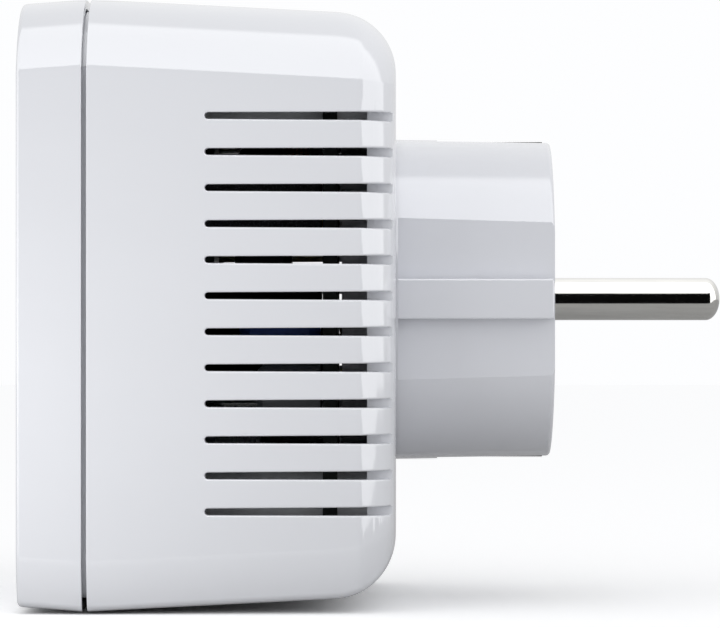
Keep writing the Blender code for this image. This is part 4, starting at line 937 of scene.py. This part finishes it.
# ---------------------------------------------------------------- wall plug
def make_plug_body(material):
    """The flattened drum with its guide ribs, its two earth grooves and the neck behind it."""
    neck_y = FLANGE_Y - FLANGE_THICKNESS
    rim = [(PUCK_FACE_RADIUS - PUCK_RIM + x, -PUCK_RIM + y)
           for x, y in arc((0, 0), PUCK_RIM, math.pi / 2, 0.0, 8)]
    profile = [(0, 0)] + rim + [(PUCK_RADIUS, BACK_Y), (PUCK_RADIUS, FLANGE_Y), (FLANGE_RADIUS, FLANGE_Y),
                                (FLANGE_RADIUS, neck_y), (0, neck_y)]
    plug = new_object("plug_body_fine", turned(profile, 192))
    flats = []
    ribs = []
    for side in (-1, 1):
        low_x, high_x = sorted((side * PUCK_FLAT_X, side * (PUCK_RADIUS + REACH)))
        flats.append(block((low_x, BACK_Y + GAP, -PUCK_RADIUS), (high_x, REACH, PUCK_RADIUS)))
        low_x, high_x = sorted((side * (PUCK_FLAT_X - ROOT), side * RIB_OUTER_X))
        ribs.append(block((low_x, BACK_Y + GAP / 2, -RIB_WIDTH / 2), (high_x, -GAP / 2, RIB_WIDTH / 2),
                          RIB_BEVEL, 4))
    carve(plug, gathered(flats))
    posts = [disc(BOARD_POST_RADIUS, POWER_REAR_Y + GAP, neck_y + ROOT, 0, side * BOARD_POST_Z, 32)
             for side in (-1, 1)]
    carve(plug, gathered(ribs), "UNION")
    reach_angle = math.acos(PUCK_BORE_FLAT_X / PUCK_BORE)
    upper = arc((0, 0), PUCK_BORE, reach_angle, math.pi - reach_angle, 48)
    start_y = neck_y - 3 * REACH
    bore = [(x, start_y, z) for x, z in upper + [(x, -z) for x, z in reversed(upper)]]
    carve(plug, extruded(bore, (0, -PUCK_PLATE - start_y, 0)))
    carve(plug, gathered(posts), "UNION")
    pins = [countersunk(PIN_RADIUS + GAP, side * PIN_SPACING / 2, 0) for side in (-1, 1)]
    earth = countersunk(EARTH_HOLE_RADIUS, 0, EARTH_HOLE_Z)
    pilot_end_y = FLANGE_Y - BOARD_PILOT_STOP
    pilots = [disc(BOARD_PILOT_RADIUS, POWER_REAR_Y - REACH, pilot_end_y, 0, side * BOARD_POST_Z, 24)
              for side in (-1, 1)]
    carve(plug, gathered(pins + [earth] + pilots))
    half = CLIP_HALF_WIDTH + GAP
    rear_y, slot_y = CLIP_REAR_Y - GAP, CLIP_REAR_Y + CLIP_THICKNESS + GAP
    floor_z = CLIP_OUTER_Z - CLIP_THICKNESS - GAP
    outer_z, inner_z = PUCK_RADIUS + REACH, PUCK_BORE - 2 * REACH
    groove = [(REACH, outer_z), (rear_y, outer_z), (rear_y, inner_z), (slot_y, inner_z), (slot_y, floor_z),
              (REACH, floor_z)]
    carve(plug, gathered([extruded([(-half, y, side * z) for y, z in groove], (2 * half, 0, 0))
                          for side in (-1, 1)]))
    return finished(plug, "plug_body", material, sharp_angle=28)


def countersunk(radius, x, z):
    """A cutter for a hole through the plug's face, with a rounded mouth."""
    mouth = [(radius + PUCK_HOLE_ROUND * (1 - math.cos(a)), -PUCK_HOLE_ROUND * (1 - math.sin(a)))
             for a in quarter(5)]
    profile = [(0, -PUCK_PLATE - REACH), (radius, -PUCK_PLATE - REACH)] + mouth
    return turned(profile + [(radius + PUCK_HOLE_ROUND, REACH), (0, REACH)], 64, (x, 0, z))


def make_pin(node, side, material):
    """Round pin with an elliptical dome at its tip, a shoulder inside the plug and a thinner tail."""
    dome = [(PIN_RADIUS * math.cos(a), PIN_LENGTH - PIN_DOME + PIN_DOME * math.sin(a))
            for a in quarter(20)[:-1]]
    profile = [(0, PIN_LENGTH)] + dome[::-1] + [
        (PIN_RADIUS, 0.0), (PIN_RADIUS, PIN_SHOULDER_Y), (PIN_SHOULDER_RADIUS, PIN_SHOULDER_Y),
        (PIN_SHOULDER_RADIUS, PIN_SHOULDER_Y - PIN_SHOULDER_LENGTH),
        (PIN_TAIL_RADIUS, PIN_SHOULDER_Y - PIN_SHOULDER_LENGTH), (PIN_TAIL_RADIUS, PIN_TAIL_Y),
        (0, PIN_TAIL_Y)]
    pin = new_object(f"{node}_fine", turned(profile, 96, (side * PIN_SPACING / 2, 0, 0)))
    return finished(pin, node, material)


def make_earth_bracket(material):
    """One bent strip with rounded bends and edges, and an eye around the earth tube."""
    outer, thick, bend = CLIP_OUTER_Z, CLIP_THICKNESS, CLIP_BEND
    outside = [(CLIP_TIP_Y, outer)] + [
        (CLIP_REAR_Y + bend - y, outer - bend + z) for y, z in arc((0, 0), bend, math.pi / 2, 0.0, 6)]
    tight = bend - thick
    inside = [(CLIP_TIP_Y, outer - thick)] + [
        (CLIP_REAR_Y + bend - y, outer - bend + z) for y, z in arc((0, 0), tight, math.pi / 2, 0.0, 6)]
    outline = outside + [(y, -z) for y, z in reversed(outside)]
    outline += [(y, -z) for y, z in inside] + inside[::-1]
    strip = extruded([(-CLIP_HALF_WIDTH, y, z) for y, z in outline], (2 * CLIP_HALF_WIDTH, 0, 0))
    bracket = new_object("earth_bracket_fine", strip)
    spine_y = CLIP_REAR_Y + thick
    step = thick / 10
    carve(bracket, disc(EARTH_EYE_RADIUS, CLIP_REAR_Y + step, spine_y - step, 0, EARTH_HOLE_Z, 64), "UNION")
    carve(bracket, disc(EARTH_TUBE_RADIUS + GAP, CLIP_REAR_Y - REACH, spine_y + REACH, 0, EARTH_HOLE_Z, 64))
    modifier = bracket.modifiers.new("rounded_edges", "BEVEL")
    modifier.width = CLIP_BEVEL
    modifier.segments = 2
    modifier.limit_method = "ANGLE"
    modifier.angle_limit = math.radians(50)
    settle(bracket)
    return finished(bracket, "earth_bracket", material)


# ---------------------------------------------------------------- camera, floor and light
SUBJECT = Vector((0, -0.0219, -0.0017))
CAMERA_DISTANCE = 0.5
SENSOR_MM = 36
LENS_MM = 215.5
FLOOR_Z = -34.55 * MM
FLOOR_END_X = 0.085                 # the sheet ends in front of the object, between it and the camera
FLOOR_REACH = 1.5
FLOOR_GREY = 0.54                   # its colour to everything but the camera
FLOOR_SEEN = 1.32                   # its colour to the camera

# Light tent, as reflections show it: angles in degrees around the direction of +X
OPENING_AZIMUTH = 47
OPENING_TOP = 32
OPENING_SOFT = 4
SHELL_END = -0.29                   # the bright shell ends where a direction's x + SHELL_LEAN * z is this
SHELL_SOFT = 0.06
SHELL_LEAN = -0.15
SHELL_LIGHT = 2.3
REAR_LIGHT = 0.72
OPENING_LIGHT = 0.004
FILL_FRONT = 0.82
FILL_REAR = 0.66
FILL_TURN = 0.6                     # the fill changes between these x of a direction, either side of 0
TENT_COLOUR = (0.985, 0.99, 1.0, 1)
# name, azimuth and elevation in degrees, distance, width, height, radiance
LAMPS = [("low_left_card", -41, -9, 0.100, 0.05, 0.025, 3.2),
         ("right_card", 52, 8, 0.50, 0.30, 0.30, 1.4)]


def make_camera():
    """A long lens that looks along -X at the object's side."""
    data = bpy.data.cameras.new("camera")
    data.sensor_width = SENSOR_MM
    data.lens = LENS_MM
    camera = bpy.data.objects.new("camera", data)
    camera.location = SUBJECT + Vector((CAMERA_DISTANCE, 0, 0))
    camera.rotation_euler = (math.pi / 2, 0, math.pi / 2)
    bpy.context.scene.collection.objects.link(camera)
    bpy.context.scene.camera = camera


def softbox(name, azimuth, elevation, distance, width, height, radiance):
    """A rectangular lamp that faces the object. Azimuth is measured from +X towards +Y, in degrees."""
    data = bpy.data.lights.new(name, "AREA")
    data.shape = "RECTANGLE"
    data.size = width
    data.size_y = height
    data.energy = radiance * math.pi * width * height
    lamp = bpy.data.objects.new(name, data)
    a, e = math.radians(azimuth), math.radians(elevation)
    away = Vector((math.cos(a) * math.cos(e), math.sin(a) * math.cos(e), math.sin(e)))
    lamp.location = SUBJECT + away * distance
    lamp.rotation_euler = away.to_track_quat("Z", "Y").to_euler()
    lamp.visible_camera = False
    lamp.visible_glossy = False
    bpy.context.scene.collection.objects.link(lamp)


def calculate(tree, operation, first, second=None, third=None):
    """A math node. Each argument is a number or another node's output."""
    node = tree.nodes.new("ShaderNodeMath")
    node.operation = operation
    for socket, value in zip(node.inputs, (first, second, third)):
        if isinstance(value, (int, float)):
            socket.default_value = value
        elif value is not None:
            link(tree, value, socket)
    return node.outputs["Value"]


def step_up(tree, value, low, high):
    """0 below low, 1 above high, with a smooth change between them."""
    node = tree.nodes.new("ShaderNodeMapRange")
    node.interpolation_type = "SMOOTHSTEP"
    node.inputs["From Min"].default_value = low
    node.inputs["From Max"].default_value = high
    link(tree, value, node.inputs["Value"])
    return node.outputs["Result"]


def make_world():
    """A light tent: a bright shell with a dark opening at the camera and a dimmer rear half."""
    world = bpy.data.worlds.new("studio")
    bpy.context.scene.world = world
    world.cycles.sampling_method = "NONE"
    world.use_nodes = True
    tree = world.node_tree
    tree.nodes.clear()
    place = tree.nodes.new("ShaderNodeTexCoord")
    parts = tree.nodes.new("ShaderNodeSeparateXYZ")
    link(tree, place.outputs["Generated"], parts.inputs["Vector"])
    x, y, z = parts.outputs["X"], parts.outputs["Y"], parts.outputs["Z"]
    azimuth = calculate(tree, "ABSOLUTE", calculate(tree, "ARCTAN2", y, x))
    elevation = calculate(tree, "ARCSINE", z)
    beside = step_up(tree, azimuth, math.radians(OPENING_AZIMUTH - OPENING_SOFT),
                     math.radians(OPENING_AZIMUTH + OPENING_SOFT))
    above = step_up(tree, elevation, math.radians(OPENING_TOP - OPENING_SOFT),
                    math.radians(OPENING_TOP + OPENING_SOFT))
    shell = calculate(tree, "MAXIMUM", beside, above)
    forward = step_up(tree, calculate(tree, "MULTIPLY_ADD", z, SHELL_LEAN, x), SHELL_END - SHELL_SOFT,
                      SHELL_END + SHELL_SOFT)
    bright = calculate(tree, "MULTIPLY", shell,
                       calculate(tree, "MULTIPLY", forward, SHELL_LIGHT - REAR_LIGHT))
    rear = calculate(tree, "MULTIPLY_ADD", calculate(tree, "MAXIMUM", z, 0.0), REAR_LIGHT, REAR_LIGHT)
    seen = calculate(tree, "ADD", bright, calculate(tree, "MULTIPLY", shell, rear))
    reflected = calculate(tree, "ADD", seen, OPENING_LIGHT)
    fill = calculate(tree, "MULTIPLY_ADD", step_up(tree, x, -FILL_TURN, FILL_TURN),
                     FILL_FRONT - FILL_REAR, FILL_REAR)
    rays = tree.nodes.new("ShaderNodeLightPath")
    glossy = rays.outputs["Is Glossy Ray"]
    light = calculate(tree, "ADD", calculate(tree, "MULTIPLY", glossy, reflected),
                      calculate(tree, "MULTIPLY", calculate(tree, "SUBTRACT", 1.0, glossy), fill))
    camera = rays.outputs["Is Camera Ray"]
    strength = calculate(tree, "MAXIMUM", light, camera)
    background = tree.nodes.new("ShaderNodeBackground")
    background.inputs["Color"].default_value = TENT_COLOUR
    output = tree.nodes.new("ShaderNodeOutputWorld")
    link(tree, strength, background.inputs["Strength"])
    link(tree, background.outputs["Background"], output.inputs["Surface"])


def make_floor():
    """A plain sheet that looks white to the camera, but is grey to the object and shades its underside."""
    material, tree, shader = new_material("floor_white")
    rays = tree.nodes.new("ShaderNodeLightPath")
    mix = tree.nodes.new("ShaderNodeMix")
    mix.data_type = "RGBA"
    mix.clamp_factor = False
    mix.inputs["A"].default_value = (FLOOR_GREY, FLOOR_GREY, FLOOR_GREY, 1)
    mix.inputs["B"].default_value = (FLOOR_SEEN, FLOOR_SEEN, FLOOR_SEEN, 1)
    link(tree, rays.outputs["Is Camera Ray"], mix.inputs["Factor"])
    diffuse = tree.nodes.new("ShaderNodeBsdfDiffuse")
    link(tree, mix.outputs["Result"], diffuse.inputs["Color"])
    tree.nodes.remove(shader)
    link(tree, diffuse.outputs["BSDF"], tree.nodes["Material Output"].inputs["Surface"])
    corners = [(-FLOOR_REACH, -FLOOR_REACH), (FLOOR_END_X, -FLOOR_REACH), (FLOOR_END_X, FLOOR_REACH),
               (-FLOOR_REACH, FLOOR_REACH)]
    sheet = bmesh.new()
    sheet.faces.new([sheet.verts.new((x, y, FLOOR_Z)) for x, y in corners])
    floor = new_object("floor", sheet)
    floor.data.materials.append(material)


def make_studio():
    make_camera()
    make_world()
    make_floor()
    for lamp in LAMPS:
        softbox(*lamp)
    bpy.context.scene.view_settings.view_transform = "Standard"


# ---------------------------------------------------------------- assembly
def main():
    """Better materials for every CAD node, then the fine pieces that replace those seen from outside."""
    materials = make_materials()
    for node, obj in frame["nodes"].items():
        obj.data.materials.clear()
        obj.data.materials.append(materials[slot_of(node)])
    make_front_cover(materials["case_plastic"])
    make_rear_housing(materials["case_plastic"])
    make_type_label(materials["label_film"])
    for number, (x, z) in enumerate(post_places(), start=1):
        make_case_screw(number, x, z, materials["screw_steel"])
    make_plug_body(materials["plug_plastic"])
    make_pin("live_pin", 1, materials["nickel_plate"])
    make_pin("neutral_pin", -1, materials["nickel_plate"])
    make_earth_bracket(materials["nickel_plate"])
    make_pairing_button(materials["case_plastic"])
    make_reset_button(materials["grey_plastic"])
    for name, x in zip(("power", "link", "network"), light_places()):
        make_light_pipe(name, x, materials["light_pipe"])
    make_network_socket(materials)
    make_studio()


main()
